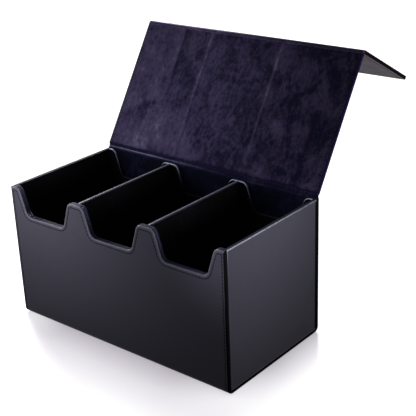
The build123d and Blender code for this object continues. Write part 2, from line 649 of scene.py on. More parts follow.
def nap_effect() -> Tree:
    """Nap of suede: brushed patches, strokes and short fibres.

    Returns:
        The group.
    """

    def lay(nodes: Nodes, given: Sockets) -> Sockets:
        """Patches, brushed strokes and fibres over the flat sheet.

        Args:
            nodes: Nodes of the group.
            given: Its inputs by name.

        Returns:
            Its outputs by name.
        """
        place = given["Place"]
        patch = nodes.span(nodes.noise(place, scale=24.0, rough=0.6, bend=0.8), 0.3, 0.72)
        along = nodes.add("ShaderNodeMapping", {"Vector": place, "Scale": (1.0, 0.45, 1.0)})
        stroke = nodes.span(nodes.noise(along.outputs[0], scale=120.0, rough=0.6, bend=1.6), *NOISE_SPAN)
        cloud = nodes.span(nodes.noise(place, scale=210.0, rough=0.65, bend=0.5), 0.28, 0.72)
        pile = nodes.noise(place, scale=560.0, rough=0.7)
        fibre = nodes.noise(place, scale=1900.0, rough=0.75)
        mottle: Value = 0.0
        for layer, share in ((patch, 0.34), (stroke, 0.26), (cloud, 0.22), (pile, 0.18)):
            mottle = nodes.math("MULTIPLY_ADD", layer, share, mottle)
        height = nodes.math("MULTIPLY_ADD", fibre, 0.6, nodes.math("MULTIPLY", pile, 0.4))
        return {"Mottle": mottle, "Height": height, "Fibre": fibre}

    return effect("suede_nap", {"Place": VECTOR}, ("Mottle", "Height", "Fibre"), lay)


@dataclass(frozen=True)
class Finish:
    """A finish with its name and main colour."""

    name: str
    colour: Colour

    def material(self) -> Material:
        """The finish's material, made at its first use.

        Returns:
            The material.
        """
        made = bpy.data.materials.get(self.name)
        if made:
            return made
        made = bpy.data.materials.new(self.name)
        made.use_nodes = True
        made.diffuse_color = (*self.colour, 1.0)
        made.node_tree.nodes.clear()
        nodes = Nodes(made.node_tree)
        shader = nodes.add("ShaderNodeBsdfPrincipled")
        nodes.add("ShaderNodeOutputMaterial", {"Surface": shader.outputs["BSDF"]})
        self.lay(nodes, shader)
        return made

    def lay(self, nodes: Nodes, shader: Node) -> None:
        """Lays the nodes of the finish and links them to the shader."""
        raise NotImplementedError

    def tone(self, share: float) -> Colour:
        """The main colour times a share."""
        return tuple(share * part for part in self.colour)

    @staticmethod
    def place(nodes: Nodes) -> Socket:
        """Place in the piece's own frame."""
        return nodes.add("ShaderNodeTexCoord").outputs["Object"]

    @staticmethod
    def relief(nodes: Nodes, height: Socket, strength: float, distance: float) -> Socket:
        """The normal of a surface that is raised by a height."""
        bump = nodes.add("ShaderNodeBump", {"Height": height, "Strength": strength, "Distance": distance})
        return bump.outputs["Normal"]


@dataclass(frozen=True)
class Leatherette(Finish):
    """Black leatherette with a fine pebbled grain, lighter along its edges from wear and a painted highlight, darker
    where painted shade is laid in grooves and on edge tops.
    """

    # Colour of wear and of a painted highlight along the turned edges; the wear amount below scales both.
    rub_and_painted_light: Colour = (0.11, 0.107, 0.142)
    rough: float = 0.46
    gloss: float = 0.25
    ior: float = 1.15
    cells: float = 1150.0
    wear: float = 0.85
    dark: float = 0.72
    crease_shade: float = 0.35
    # Tone of the painted shade in sewn grooves and on the tops of turned edges.
    seam: float = 0.1
    rough_swing: tuple[float, float] = (-0.04, 0.05)
    crease_rough: float = 0.1
    rubbed_smooth: float = 0.12
    tint: Colour = (0.8, 0.83, 1.0)

    def lay(self, nodes: Nodes, shader: Node) -> None:
        """Grain, a slow change of tone, edges lightened by wear and a painted highlight, and painted shade in
        grooves.

        Args:
            nodes: Nodes of the material.
            shader: Its shader.
        """
        place = self.place(nodes)
        # Edge share: wear and a painted highlight along the turned edges.
        edge = nodes.add("ShaderNodeAttribute", attribute_name="worn").outputs["Fac"]
        # Painted shade share: sewn grooves and the tops of turned edges.
        seam = nodes.add("ShaderNodeAttribute", attribute_name="pressed").outputs["Fac"]
        grain = nodes.add("ShaderNodeGroup", node_tree=grain_effect())
        nodes.fill(grain, {"Place": place, "Cells": self.cells})
        wear = nodes.add("ShaderNodeGroup", node_tree=wear_effect())
        nodes.fill(wear, {"Place": place, "Edge": edge, "Amount": self.wear})
        swell, crease, rub_and_painted_light = grain.outputs["Swell"], grain.outputs["Crease"], wear.outputs["Rubbed"]
        dark = self.tone(self.dark)
        shade = nodes.mix(swell, dark, self.colour)
        shade = nodes.mix(nodes.math("MULTIPLY", crease, self.crease_shade), shade, dark)
        # Wear and painted highlight on the edges, then painted shade in grooves and on edge tops.
        shade = nodes.mix(rub_and_painted_light, shade, self.rub_and_painted_light)
        shade = nodes.mix(seam, shade, self.tone(self.seam))
        rough = nodes.span(swell, *NOISE_SPAN, *(self.rough + swing for swing in self.rough_swing))
        rough = nodes.math("ADD", rough, nodes.math("MULTIPLY", crease, self.crease_rough))
        rough = nodes.math("SUBTRACT", rough, nodes.math("MULTIPLY", rub_and_painted_light, self.rubbed_smooth))
        normal = self.relief(nodes, grain.outputs["Height"], strength=0.16, distance=0.00025)
        nodes.fill(shader, {"Base Color": shade, "Roughness": rough, "Specular IOR Level": self.gloss,
                            "IOR": self.ior, "Specular Tint": (*self.tint, 1.0), "Normal": normal})


@dataclass(frozen=True)
class Mottled(Finish):
    """A finish that one fine noise mottles and raises."""

    scale: float = 340.0
    detail: float = 4.0
    fine: float = 0.6
    tones: tuple[float, float] = (0.6, 1.5)
    rough: tuple[float, float] = (0.5, 0.72)
    gloss: float = 0.03
    ior: float = 1.1
    strength: float = 0.25
    distance: float = 0.0003

    def lay(self, nodes: Nodes, shader: Node) -> None:
        """Shade, roughness and relief of the noise.

        Args:
            nodes: Nodes of the material.
            shader: Its shader.
        """
        noise = nodes.noise(self.place(nodes), self.scale, self.detail, self.fine)
        nodes.fill(shader, {"Base Color": nodes.mix(noise, *(self.tone(share) for share in self.tones)),
                            "Roughness": nodes.span(noise, *NOISE_SPAN, *self.rough),
                            "Specular IOR Level": self.gloss, "IOR": self.ior,
                            "Normal": self.relief(nodes, noise, self.strength, self.distance)})


@dataclass(frozen=True)
class EdgePaint(Mottled):
    """Matt black paint on the cut edges of the wrap, brushed on in coats."""


@dataclass(frozen=True)
class Thread(Mottled):
    """Black twisted sewing thread with fine plies."""

    scale: float = 2600.0
    detail: float = 2.0
    fine: float = 0.55
    tones: tuple[float, float] = (0.5, 1.6)
    rough: tuple[float, float] = (0.55, 0.75)
    gloss: float = 0.06
    ior: float = 1.2
    strength: float = 0.6
    distance: float = 0.0002


@dataclass(frozen=True)
class Suede(Finish):
    """Brushed suede, lighter where its nap lies towards the light, where wear lifts it and where a painted highlight
    is laid, darker where painted shade is laid.
    """

    light: Colour = (0.0172, 0.0132, 0.031)
    rub_and_painted_light: Colour = (0.05, 0.043, 0.072)
    sheen: float = 0.04
    sheen_tint: Colour = (0.62, 0.56, 1.0)
    sheen_rough: float = 0.5
    gloss: float = 0.02
    lie_share: float = 0.6
    light_span: tuple[float, float] = (0.2, 0.78)
    rubbed_span: tuple[float, float] = (0.7, 1.25)
    rough: tuple[float, float] = (0.86, 0.98)

    def lay(self, nodes: Nodes, shader: Node) -> None:
        """Mottled nap on the flat sheet, with brushed marks, painted highlight lines and painted shade.

        Args:
            nodes: Nodes of the material.
            shader: Its shader.
        """
        place = nodes.add("ShaderNodeUVMap", uv_map="cloth").outputs["UV"]
        # Its edge share carries nap marks, painted highlight on rolls, folds and dents, and painted shade by the
        # hinge grooves.
        edge = nodes.add("ShaderNodeAttribute", attribute_name="worn").outputs["Fac"]
        nap = nodes.add("ShaderNodeGroup", node_tree=nap_effect())
        nodes.fill(nap, {"Place": place})
        tone = nodes.math("MULTIPLY_ADD", edge, self.lie_share, nap.outputs["Mottle"])
        shade = nodes.mix(nodes.span(tone, *self.light_span), self.colour, self.light)
        shade = nodes.mix(nodes.span(tone, *self.rubbed_span), shade, self.rub_and_painted_light)
        rough = nodes.span(nap.outputs["Fibre"], *NOISE_SPAN, *self.rough)
        normal = self.relief(nodes, nap.outputs["Height"], strength=0.5, distance=0.0006)
        nodes.fill(shader, {"Base Color": shade, "Roughness": rough, "Specular IOR Level": self.gloss,
                            "Sheen Weight": self.sheen, "Sheen Roughness": self.sheen_rough,
                            "Sheen Tint": (*self.sheen_tint, 1.0), "Normal": normal})


@dataclass(frozen=True)
class Greyboard(Finish):
    """Dense grey board of pressed paper."""

    tones: tuple[float, float] = (0.75, 1.2)
    fleck_tone: float = 0.45
    fleck_share: float = 0.4
    rough: tuple[float, float] = (0.8, 0.95)

    def lay(self, nodes: Nodes, shader: Node) -> None:
        """Flecks and fibres.

        Args:
            nodes: Nodes of the material.
            shader: Its shader.
        """
        place = self.place(nodes)
        fibre = nodes.noise(place, scale=950.0, detail=5.0, rough=0.7, bend=0.4)
        fleck = nodes.span(nodes.noise(place, scale=260.0), 0.6, 0.68)
        shade = nodes.mix(fibre, *(self.tone(share) for share in self.tones))
        shade = nodes.mix(nodes.math("MULTIPLY", fleck, self.fleck_share), shade, self.tone(self.fleck_tone))
        nodes.fill(shader, {"Base Color": shade, "Roughness": nodes.span(fibre, *NOISE_SPAN, *self.rough),
                            "Normal": self.relief(nodes, fibre, strength=0.3, distance=0.0003)})


@dataclass(frozen=True)
class Plating(Finish):
    """Nickel plating on the magnets."""

    low_tone: float = 0.8
    rough: tuple[float, float] = (0.22, 0.42)

    def lay(self, nodes: Nodes, shader: Node) -> None:
        """Metal with fine scratches.

        Args:
            nodes: Nodes of the material.
            shader: Its shader.
        """
        place = self.place(nodes)
        drawn = nodes.add("ShaderNodeMapping", {"Vector": place, "Scale": (1.0, 14.0, 14.0)})
        scratch = nodes.noise(drawn.outputs[0], scale=160.0, detail=4.0, rough=0.7)
        nodes.fill(shader, {"Base Color": nodes.mix(scratch, self.tone(self.low_tone), self.colour),
                            "Roughness": nodes.span(scratch, *NOISE_SPAN, *self.rough), "Metallic": 1.0,
                            "Normal": self.relief(nodes, scratch, strength=0.1, distance=0.0001)})


BLACK: Colour = (0.031, 0.03, 0.0415)


@dataclass(frozen=True)
class Finishes:
    """All finishes of the box."""

    leatherette: Finish = Leatherette("black_leatherette", BLACK)
    # Turned edges: glossier leatherette whose edge colour is wear and a painted highlight.
    turned: Finish = Leatherette("turned_leatherette", BLACK, rub_and_painted_light=(0.065, 0.065, 0.105), rough=0.36,
                                 ior=1.35)
    # A lit copy of the turned leatherette for the right side only: its bright edge colour is a painted highlight.
    side_edge_highlight: Finish = Leatherette("side_edge_leatherette", BLACK, rub_and_painted_light=(0.25, 0.26, 0.35), rough=0.36,
                                      ior=1.3)
    # Bindings are darker copies of the leatherette, darkened as painted shade inside the tray; their edge colours are
    # painted highlights.
    binding: Finish = Leatherette("binding_leatherette", (0.01, 0.01, 0.017), rub_and_painted_light=(0.25, 0.235, 0.32),
                                  ior=1.2)
    # Front rim: painted shade with a faint bluish painted highlight.
    front_binding: Finish = Leatherette("front_rim_leatherette", (0.005, 0.005, 0.011),
                                        rub_and_painted_light=(0.032, 0.037, 0.085), gloss=0.15)
    # Back rim: painted shade with a bright painted highlight on the tab tops.
    back_binding: Finish = Leatherette("back_rim_leatherette", (0.005, 0.005, 0.01),
                                       rub_and_painted_light=(0.36, 0.36, 0.51), gloss=0.08)
    edge: Finish = EdgePaint("edge_paint", (0.0025, 0.0025, 0.003))
    lid_edge: Finish = EdgePaint("lid_edge_paint", (0.006, 0.0045, 0.02))
    lid_suede: Finish = Suede("brushed_suede", (0.0013, 0.001, 0.0062))
    # A darker copy of the brushed suede: painted shade on the back lining, which sits in the lid's shade.
    back_suede: Finish = Suede("back_panel_suede", (0.0003, 0.0004, 0.0018), light=(0.0025, 0.0034, 0.011),
                               rub_and_painted_light=(0.05, 0.045, 0.072), sheen=0.01)
    # Black suede in the rows, darkened further as painted shade for the deep inside of the tray.
    row_suede: Finish = Suede("black_row_suede", (0.0005, 0.0005, 0.0007), light=(0.0015, 0.0015, 0.0021),
                              rub_and_painted_light=(0.01, 0.01, 0.013), sheen=0.0)
    thread: Finish = Thread("sewing_thread", (0.001, 0.001, 0.0013))
    board: Finish = Greyboard("greyboard", (0.36, 0.34, 0.31))
    magnet: Finish = Plating("magnet_plating", (0.62, 0.61, 0.58))

    def covered(self, turned: Finish | None = None,
                edge: Finish | None = None) -> tuple[Material, ...]:
        """Materials of a cover: its face, its turned edge and its painted edge."""
        finishes = (self.leatherette, turned or self.turned, edge or self.edge)
        return tuple(finish.material() for finish in finishes)


@dataclass(frozen=True)
class RimPoint:
    """What the covered edge does at one point of a cover's outline."""

    reach: float
    stitched: float
    painted: bool
    # Scales the wear and painted highlight of the edge at this point.
    rub_and_painted_light: float = 1.0


@dataclass(frozen=True)
class RingStep:
    """One ring of a covered edge, from the flat face round to the inside."""

    inset: float
    depth: float
    groove: float = 0.0
    from_end: bool = False
    # Share of wear and painted highlight, then share of painted shade.
    worn: float = 0.0
    shade: float = 0.0
    turned: bool = False
    edge: bool = False


@dataclass(frozen=True)
class TurnedEdge:
    """A turned edge of a cover with a sewn groove beside it and a band between them.

    Rings of the groove: inset, share of its depth. Rings of the band: inset, rise, share of the groove, share of wear
    and painted highlight.
    """

    radius: float
    border: float
    cover: float
    band: float = 1.0
    painted: int = 0
    steps: int = 6
    inner_steps: int = 3
    groove_rings: tuple[Point, ...] = ((7.0, 0.0), (5.3, 0.0), (4.7, 0.05), (4.35, 0.55), (3.9, 1.0),
                                       (3.45, 0.55))
    band_rings: tuple[tuple[float, ...], ...] = ((3.1, 0.0, 0.05, 0.05), (2.2, 0.05, 0.0, 0.1))
    # Shares of wear and painted highlight on the band and on the inner edge line, and of painted shade on the edge's
    # top.
    start_wear_and_light: float = 0.15
    inner_wear_and_light: float = 0.6
    band_relief: float = 0.3
    radius_share: float = 0.66
    border_share: float = 0.8
    turned_shade: float = 0.8

    def rings(self) -> list[RingStep]:
        """The rings in order from the outer face to the inside of the cover.

        Returns:
            The rings, which can be painted from ring `painted` on, counted from the start of the outer edge.
        """
        rings = [RingStep(inset, 0, share) for inset, share in self.groove_rings]
        for k, (inset, rise, share, worn) in enumerate(self.band_rings, -len(self.band_rings)):
            rings.append(RingStep(inset, -rise, share, worn=worn * self.band, edge=k >= self.painted))
        # Outer arc: a painted highlight that peaks halfway round, with painted shade on its last ring.
        for k in range(self.steps + 1):
            turn = k / self.steps * pi / 2
            worn = max(self.start_wear_and_light * self.band * cos(turn), sin(2 * turn) ** 2)
            rings.append(RingStep(self.radius * (1 - sin(turn)), self.radius * (1 - cos(turn)), worn=worn,
                                  shade=self.turned_shade * (k == self.steps), turned=k < self.steps - 1,
                                  edge=k >= self.painted))
        small = min(self.radius_share * self.radius, self.border_share * self.border)
        # Inner arc: a thin painted highlight line with painted shade beside it.
        for k in range(self.inner_steps + 1):
            turn = k / self.inner_steps * pi / 2
            worn = (self.inner_wear_and_light - self.band_relief * self.band) * sin(2 * turn)
            rings.append(RingStep(small * (1 - cos(turn)), small * (1 - sin(turn)), from_end=True, worn=worn,
                                  shade=self.turned_shade * (1 - sin(2 * turn)), edge=True))
        return rings + [RingStep(self.border, 0, from_end=True, edge=True, shade=self.turned_shade),
                        RingStep(self.border, self.cover, from_end=True),
                        RingStep(self.cover, self.cover, from_end=True), RingStep(self.cover, self.cover)]


@dataclass
class Skin:
    """A cover that is turned over its edges, lofted ring by ring from its outline."""

    outline: Callable[[float], list[Point]]
    rim: list[RimPoint]
    place: Callable[[float, float, float], Vector]
    rings: list[RingStep]
    fill: Callable[[list[int]], list[list[int]]] = lambda ring: [ring]
    groove_depth: float = 0.35
    # Painted shade in the sewn groove.
    groove_shade: float = 0.6

    def finish(self, step: RingStep, k: int) -> int:
        """Finish of the k-th face after a ring: 0 for the face, 1 for the turned edge, 2 for paint."""
        painted = step.edge and self.rim[k].painted and self.rim[(k + 1) % len(self.rim)].painted
        return 2 if painted else int(step.turned)

    def loft(self) -> Loft:
        """The finished shell with its outer face, its edge and its inside.

        Returns:
            The gathered points and faces.
        """
        made = Loft()
        rows = []
        for step in self.rings:
            row = []
            for (u, v), rim in zip(self.outline(step.inset), self.rim):
                sewn = step.groove * rim.stitched
                depth = rim.reach - step.depth if step.from_end else step.depth + sewn * self.groove_depth
                # Painted shade in the sewn groove and on the edge's top.
                shade = max(sewn * self.groove_shade, step.shade)
                row.append(made.add(self.place(u, v, depth), step.worn * rim.rub_and_painted_light, pressed=shade))
            rows.append(row)
        for step, first, second in zip(self.rings, rows, rows[1:]):
            made.bridge(first, second, True, lambda k: self.finish(step, k))
        for row in (rows[0], rows[-1]):
            for corners in self.fill(row):
                made.face(corners)
        return made


@dataclass
class Stitching:
    """A run of sewn stitches, laid along a path by Geometry Nodes."""

    thread: Material
    pitch: float = 3.8
    length: float = 1.9
    width: float = 1.7
    rise: float = 0.5
    slant: float = 4.0
    seed: int = 5
    arch_steps: int = 6
    section_steps: int = 8

    def tree(self) -> Tree:
        """The node tree that sews a path, made at its first use.

        Returns:
            The tree, with its sizes as named inputs.
        """
        made = bpy.data.node_groups.get("stitch_run")
        if made:
            return made
        tree = bpy.data.node_groups.new("stitch_run", "GeometryNodeTree")
        tree.is_modifier = True
        kinds = {"Path": "Geometry", "Pitch": "Float", "Length": "Float", "Width": "Float", "Rise": "Float",
                 "Slant": "Float", "Seed": "Int", "Thread": "Material"}
        for name, kind in kinds.items():
            tree.interface.new_socket(name, in_out="INPUT", socket_type=f"NodeSocket{kind}")
        tree.interface.new_socket("Stitches", in_out="OUTPUT", socket_type="NodeSocketGeometry")
        nodes = Nodes(tree)
        given = nodes.add("NodeGroupInput").outputs
        path = nodes.add("GeometryNodeMeshToCurve", {"Mesh": given["Path"]})
        spaced = nodes.add("GeometryNodeResampleCurve",
                           {"Curve": path.outputs["Curve"], "Length": given["Pitch"]}, mode="LENGTH")
        half = nodes.math("MULTIPLY", given["Length"], 0.5)
        dip = nodes.math("MULTIPLY", given["Rise"], -1.0)
        start = nodes.add("ShaderNodeCombineXYZ", {"X": nodes.math("MULTIPLY", half, -1.0), "Z": dip})
        middle = nodes.add("ShaderNodeCombineXYZ", {"Z": given["Rise"]})
        end = nodes.add("ShaderNodeCombineXYZ", {"X": half, "Z": dip})
        arch = nodes.add("GeometryNodeCurveQuadraticBezier",
                         {"Resolution": self.arch_steps, "Start": start.outputs[0],
                          "Middle": middle.outputs[0], "End": end.outputs[0]})
        radius = nodes.math("MULTIPLY", given["Width"], 0.5)
        section = nodes.add("GeometryNodeCurvePrimitiveCircle",
                            {"Resolution": self.section_steps, "Radius": radius})
        stitch = nodes.add("GeometryNodeCurveToMesh",
                           {"Curve": arch.outputs[0], "Profile Curve": section.outputs[0], "Fill Caps": True})
        normal = nodes.add("GeometryNodeInputNamedAttribute", {"Name": "face_normal"},
                           data_type="FLOAT_VECTOR")
        tangent = nodes.add("GeometryNodeInputTangent")
        along = nodes.add("FunctionNodeAlignRotationToVector", {"Vector": tangent.outputs[0]}, axis="X")
        upright = nodes.add("FunctionNodeAlignRotationToVector",
                            {"Rotation": along.outputs[0], "Vector": normal.outputs[0]},
                            axis="Z", pivot_axis="X")
        laid = nodes.add("GeometryNodeInstanceOnPoints",
                         {"Points": spaced.outputs[0], "Instance": stitch.outputs[0],
                          "Rotation": upright.outputs[0]})
        low = nodes.math("MULTIPLY", given["Slant"], -1.0)
        sway = nodes.add("FunctionNodeRandomValue", {2: low, 3: given["Slant"], "Seed": given["Seed"]},
                         data_type="FLOAT")
        turn = nodes.add("ShaderNodeCombineXYZ", {"Z": sway.outputs[1]})
        turned = nodes.add("GeometryNodeRotateInstances",
                           {"Instances": laid.outputs[0], "Rotation": turn.outputs[0]})
        real = nodes.add("GeometryNodeRealizeInstances", {0: turned.outputs[0]})
        smooth = nodes.add("GeometryNodeSetShadeSmooth", {0: real.outputs[0]})
        dyed = nodes.add("GeometryNodeSetMaterial",
                         {"Geometry": smooth.outputs[0], "Material": given["Thread"]})
        nodes.add("NodeGroupOutput", {0: dyed.outputs[0]})
        return tree

    def sew(self, name: str, paths: Sequence[Seam]) -> Piece:
        """Sews along paths and returns one plain mesh.

        Args:
            name: Name of the piece.
            paths: Paths of points, each with the outward direction of the face that it is sewn on.

        Returns:
            The stitches.
        """
        points, edges, normals = [], [], []
        for path in paths:
            edges += [(len(points) + k, len(points) + k + 1) for k in range(len(path) - 1)]
            points += [point for point, _ in path]
            normals += [value for _, normal in path for value in normal]
        line = bpy.data.meshes.new(name + "_path")
        line.from_pydata(points, edges, [])
        line.attributes.new("face_normal", "FLOAT_VECTOR", "POINT").data.foreach_set("vector", normals)
        run = bpy.data.objects.new(name + "_path", line)
        bpy.context.scene.collection.objects.link(run)
        tree = self.tree()
        sewing = run.modifiers.new("stitches", "NODES")
        sewing.node_group = tree
        values = {"Pitch": self.pitch * MM, "Length": self.length * MM, "Width": self.width * MM,
                  "Rise": self.rise * MM, "Slant": radians(self.slant), "Seed": self.seed,
                  "Thread": self.thread}
        for item in tree.interface.items_tree:
            if item.in_out == "INPUT" and item.name in values:
                sewing[item.identifier] = values[item.name]
        graph = bpy.context.evaluated_depsgraph_get()
        mesh = bpy.data.meshes.new_from_object(run.evaluated_get(graph))
        mesh.name = name
        mesh.materials.clear()
        mesh.materials.append(self.thread)
        mesh.polygons.foreach_set("material_index", [0] * len(mesh.polygons))
        bpy.data.objects.remove(run)
        piece = bpy.data.objects.new(name, mesh)
        bpy.context.scene.collection.objects.link(piece)
        return piece


@dataclass
class Wrap:
    """The wrap's cover over front, base and back, in one run with two folds."""

    sizes: BoxSizes
    finishes: Finishes
    corner: float = 1.2
    hinge_corner: float = 0.3
    tight: float = 0.02
    arc_steps: int = 9
    fold_steps: int = 10
    hinge_share: float = 0.43
    under_notch: float = 12.0
    front_share: float = 0.65
    base_shares: tuple[float, float] = (0.33, 0.67)
    back_share: float = 0.5
    hinge_room: float = 9.0

    @property
    def front_run(self) -> float:
        """Length of the flat front."""
        return self.sizes.rim - self.sizes.fold_radius

    @property
    def fold_run(self) -> float:
        """Length of one fold."""
        return self.sizes.fold_radius * pi / 2

    @property
    def base_run(self) -> float:
        """Length of the flat base."""
        return self.sizes.depth - 2 * self.sizes.fold_radius

    @property
    def back_start(self) -> float:
        """Where the flat back starts."""
        return self.front_run + 2 * self.fold_run + self.base_run

    @property
    def length(self) -> float:
        """Length of the whole run, up to the lid's hinge groove."""
        s = self.sizes
        return self.back_start + s.rim + s.lid_gap + s.panel / 2 - s.lid_groove - s.fold_radius

    def place(self, x: float, run: float, depth: float) -> Vector:
        """A point in metres.

        Args:
            x: Place across the box.
            run: Distance along the wrap from the front's rim.
            depth: Distance in from the outside.

        Returns:
            The point in the box's frame.
        """
        s = self.sizes
        fold = s.fold_radius
        base_start = self.front_run + self.fold_run
        if run <= self.front_run:
            y, z = s.front + depth, s.rim - run
        elif run <= base_start:
            turn = (run - self.front_run) / fold
            y, z = s.front + fold - (fold - depth) * cos(turn), fold - (fold - depth) * sin(turn)
        elif run <= base_start + self.base_run:
            y, z = s.front + fold + run - base_start, depth
        elif run <= self.back_start:
            turn = (run - base_start - self.base_run) / fold
            y, z = s.back - fold + (fold - depth) * sin(turn), fold - (fold - depth) * cos(turn)
        else:
            y, z = s.back - depth, fold + run - self.back_start
        return Vector((x, y, z)) * MM

    def stations(self) -> list[float]:
        """Places of the side points along the run.

        Returns:
            Distances from the front's rim, closer together in the folds.
        """
        base_start = self.front_run + self.fold_run
        back_fold = base_start + self.base_run
        fold = [self.fold_run * k / self.fold_steps for k in range(self.fold_steps + 1)]
        back = self.back_start + (self.length - self.back_start) * self.back_share
        return ([self.sizes.notch_depth + self.under_notch, self.front_run * self.front_share]
                + [self.front_run + f for f in fold]
                + [base_start + self.base_run * share for share in self.base_shares]
                + [back_fold + f for f in fold]
                + [back, self.length - self.hinge_room])

    def outline(self, inset: float) -> list[Point]:
        """The cover's outline as places across and along, drawn in by an inset.

        Args:
            inset: Distance in from the finished outline.

        Returns:
            The points of the closed outline.
        """
        s = self.sizes
        side, top, end = s.half - inset, inset, self.length - inset
        radius = max(self.corner - inset, self.tight)
        corners = [((-side, top), radius), *notched_corners(s, inset), ((side, top), radius)]
        path = rounded_path(corners, (-side, end), (side, end), self.arc_steps)
        path += [(side, run) for run in self.stations()]
        radius = max(self.hinge_corner - inset, self.tight)
        path += rounded_corner((side, top), (side, end), (-side, end), radius, self.arc_steps)
        path += [(side - s.border, end), (-side + s.border, end)]
        path += rounded_corner((side, end), (-side, end), (-side, top), radius, self.arc_steps)
        path += [(-side, run) for run in reversed(self.stations())]
        return path

    def rim(self) -> list[RimPoint]:
        """What the edge does at each point of the outline.

        Returns:
            One entry for each point.
        """
        s = self.sizes
        arc = self.arc_steps + 1
        notched = [RimPoint(s.front_stack, 1.0, False)] * (arc * (4 * s.rows + 2))
        notched[:arc] = notched[-arc:] = [RimPoint(s.front_stack, 1.0, True)] * arc
        back_fold = self.back_start - self.fold_run
        sides = []
        for run in self.stations():
            share = min(max((run - back_fold) / self.fold_run, 0.0), 1.0)
            sides.append(RimPoint(s.front_stack + share * (s.panel - s.front_stack), 1.0, True))
        corner = [RimPoint(s.panel, 0.0, True)] * arc
        hinge = [RimPoint(s.panel * self.hinge_share, 0.0, False)] * 2
        return notched + sides + corner + hinge + corner + sides[::-1]

    def fill(self, ring: list[int]) -> list[list[int]]:
        """Faces across a ring: the notched front, strips round the folds, and the back.

        Args:
            ring: Numbers of the ring's points.

        Returns:
            The corners of each face.
        """
        arc = self.arc_steps + 1
        notched = arc * (4 * self.sizes.rows + 2)
        count = len(self.stations())
        end = notched + count + 2 * arc + 2
        right, hinge, left = ring[notched:notched + count], ring[notched + count:end], ring[end:][::-1]
        faces = [ring[:notched] + [right[0], left[0]]]
        faces += [[right[k], right[k + 1], left[k + 1], left[k]] for k in range(count - 1)]
        return faces + [[right[-1], *hinge, left[-1]]]

    def build(self) -> Piece:
        """Makes the cover and sets it on the box.

        Returns:
            The cover.
        """
        s = self.sizes
        rings = TurnedEdge(s.edge_radius, s.border, s.cover, painted=-1).rings()
        skin = Skin(self.outline, self.rim(), self.place, rings, self.fill)
        piece = skin.loft().piece("wrap_cover", *self.finishes.covered())
        return dress(piece, Body.BOX, Slot.LEATHERETTE, "front_cover", "base_cover", "back_cover")

    def seam(self, depth: float) -> Seam:
        """The sewn path round the cover, from the hinge on the left to the hinge on the right.

        Args:
            depth: Depth of the thread's middle.

        Returns:
            Points with the outward direction of the cover.
        """
        s = self.sizes
        side = s.half - s.stitch_inset
        arc = self.arc_steps + 1
        notched = arc * (4 * s.rows + 2)
        outline = self.outline(s.stitch_inset)
        top = outline[arc:notched - arc]
        down = [s.stitch_inset, *self.stations(), self.length - s.stitch_inset]
        flat = [(-side, run) for run in reversed(down)] + top + [(side, run) for run in down]
        path = []
        for x, run in flat:
            point = self.place(x, run, depth)
            path.append((point, (self.place(x, run, depth - 1) - point).normalized()))
        return path


@dataclass
class Panel:
    """A covered panel of the wrap: the lid or the flap."""

    name: str
    body: Body
    sizes: BoxSizes
    finishes: Finishes
    frame: PanelFrame
    start: float
    end: float
    free_end: bool
    node: str
    corner: float = 1.6
    hinge_corner: float = 0.3
    tight: float = 0.02
    arc_steps: int = 6
    hinge_share: float = 0.43

    def outline(self, inset: float) -> list[Point]:
        """The cover's outline as places across and along, drawn in by an inset.

        Args:
            inset: Distance in from the finished outline.

        Returns:
            The points of the closed outline.
        """
        s = self.sizes
        side, low, high = s.half - inset, self.start + inset, self.end - inset
        turns = [(-side, low), (side, low), (side, high), (-side, high)]
        path = []
        for k in range(4):
            corner = self.corner if self.free_end and k > 1 else self.hinge_corner
            radius = max(corner - inset, self.tight)
            path += rounded_corner(turns[k - 1], turns[k], turns[(k + 1) % 4], radius, self.arc_steps)
            if k == 0:
                path += [(-side + s.border, low), (side - s.border, low)]
            if k == 2 and not self.free_end:
                path += [(side - s.border, high), (-side + s.border, high)]
        return path

    def rim(self) -> list[RimPoint]:
        """What the edge does at each point of the outline.

        Returns:
            One entry for each point.
        """
        s = self.sizes
        arc = self.arc_steps + 1
        sewn = RimPoint(s.panel, 1.0, True)
        hinged = [replace(sewn, stitched=0.0)] * arc
        hinge = [RimPoint(s.panel * self.hinge_share, 0.0, False)] * 2
        last = [sewn] * (2 * arc) if self.free_end else hinged + hinge + hinged
        made = hinged + hinge + hinged + last
        for end in (0, 2 * arc + 1, 2 * arc + 2, -1):
            made[end] = sewn
        return made

    def place(self, x: float, along: float, depth: float) -> Vector:
        """A point in metres at a depth in from the outer face."""
        return self.frame.at(x, along, depth - self.sizes.panel / 2)

    def build(self) -> Piece:
        """Makes the cover and sets it on its body.

        Returns:
            The cover.
        """
        s = self.sizes
        rings = TurnedEdge(s.edge_radius, s.border, s.cover, painted=2).rings()
        skin = Skin(self.outline, self.rim(), self.place, rings)
        edge = None if self.free_end else self.finishes.lid_edge
        piece = skin.loft().piece(self.name, *self.finishes.covered(edge=edge))
        return dress(piece, self.body, Slot.LEATHERETTE, self.node)

    def seams(self, depth: float) -> list[Seam]:
        """The sewn paths on both faces.

        Args:
            depth: Depth of the thread's middle under either face.

        Returns:
            Paths of points with the outward direction of their face.
        """
        s = self.sizes
        side, low, high = s.half - s.stitch_inset, self.start + s.stitch_inset, self.end - s.stitch_inset
        if self.free_end:
            flat = [[(-side, low), (-side, high), (side, high), (side, low)]]
        else:
            flat = [[(x, low), (x, high)] for x in (-side, side)]
        paths = []
        for level, normal in ((depth, -self.frame.inward), (s.panel - depth, self.frame.inward)):
            paths += [[(self.place(x, along, level), normal) for x, along in path] for path in flat]
        return paths


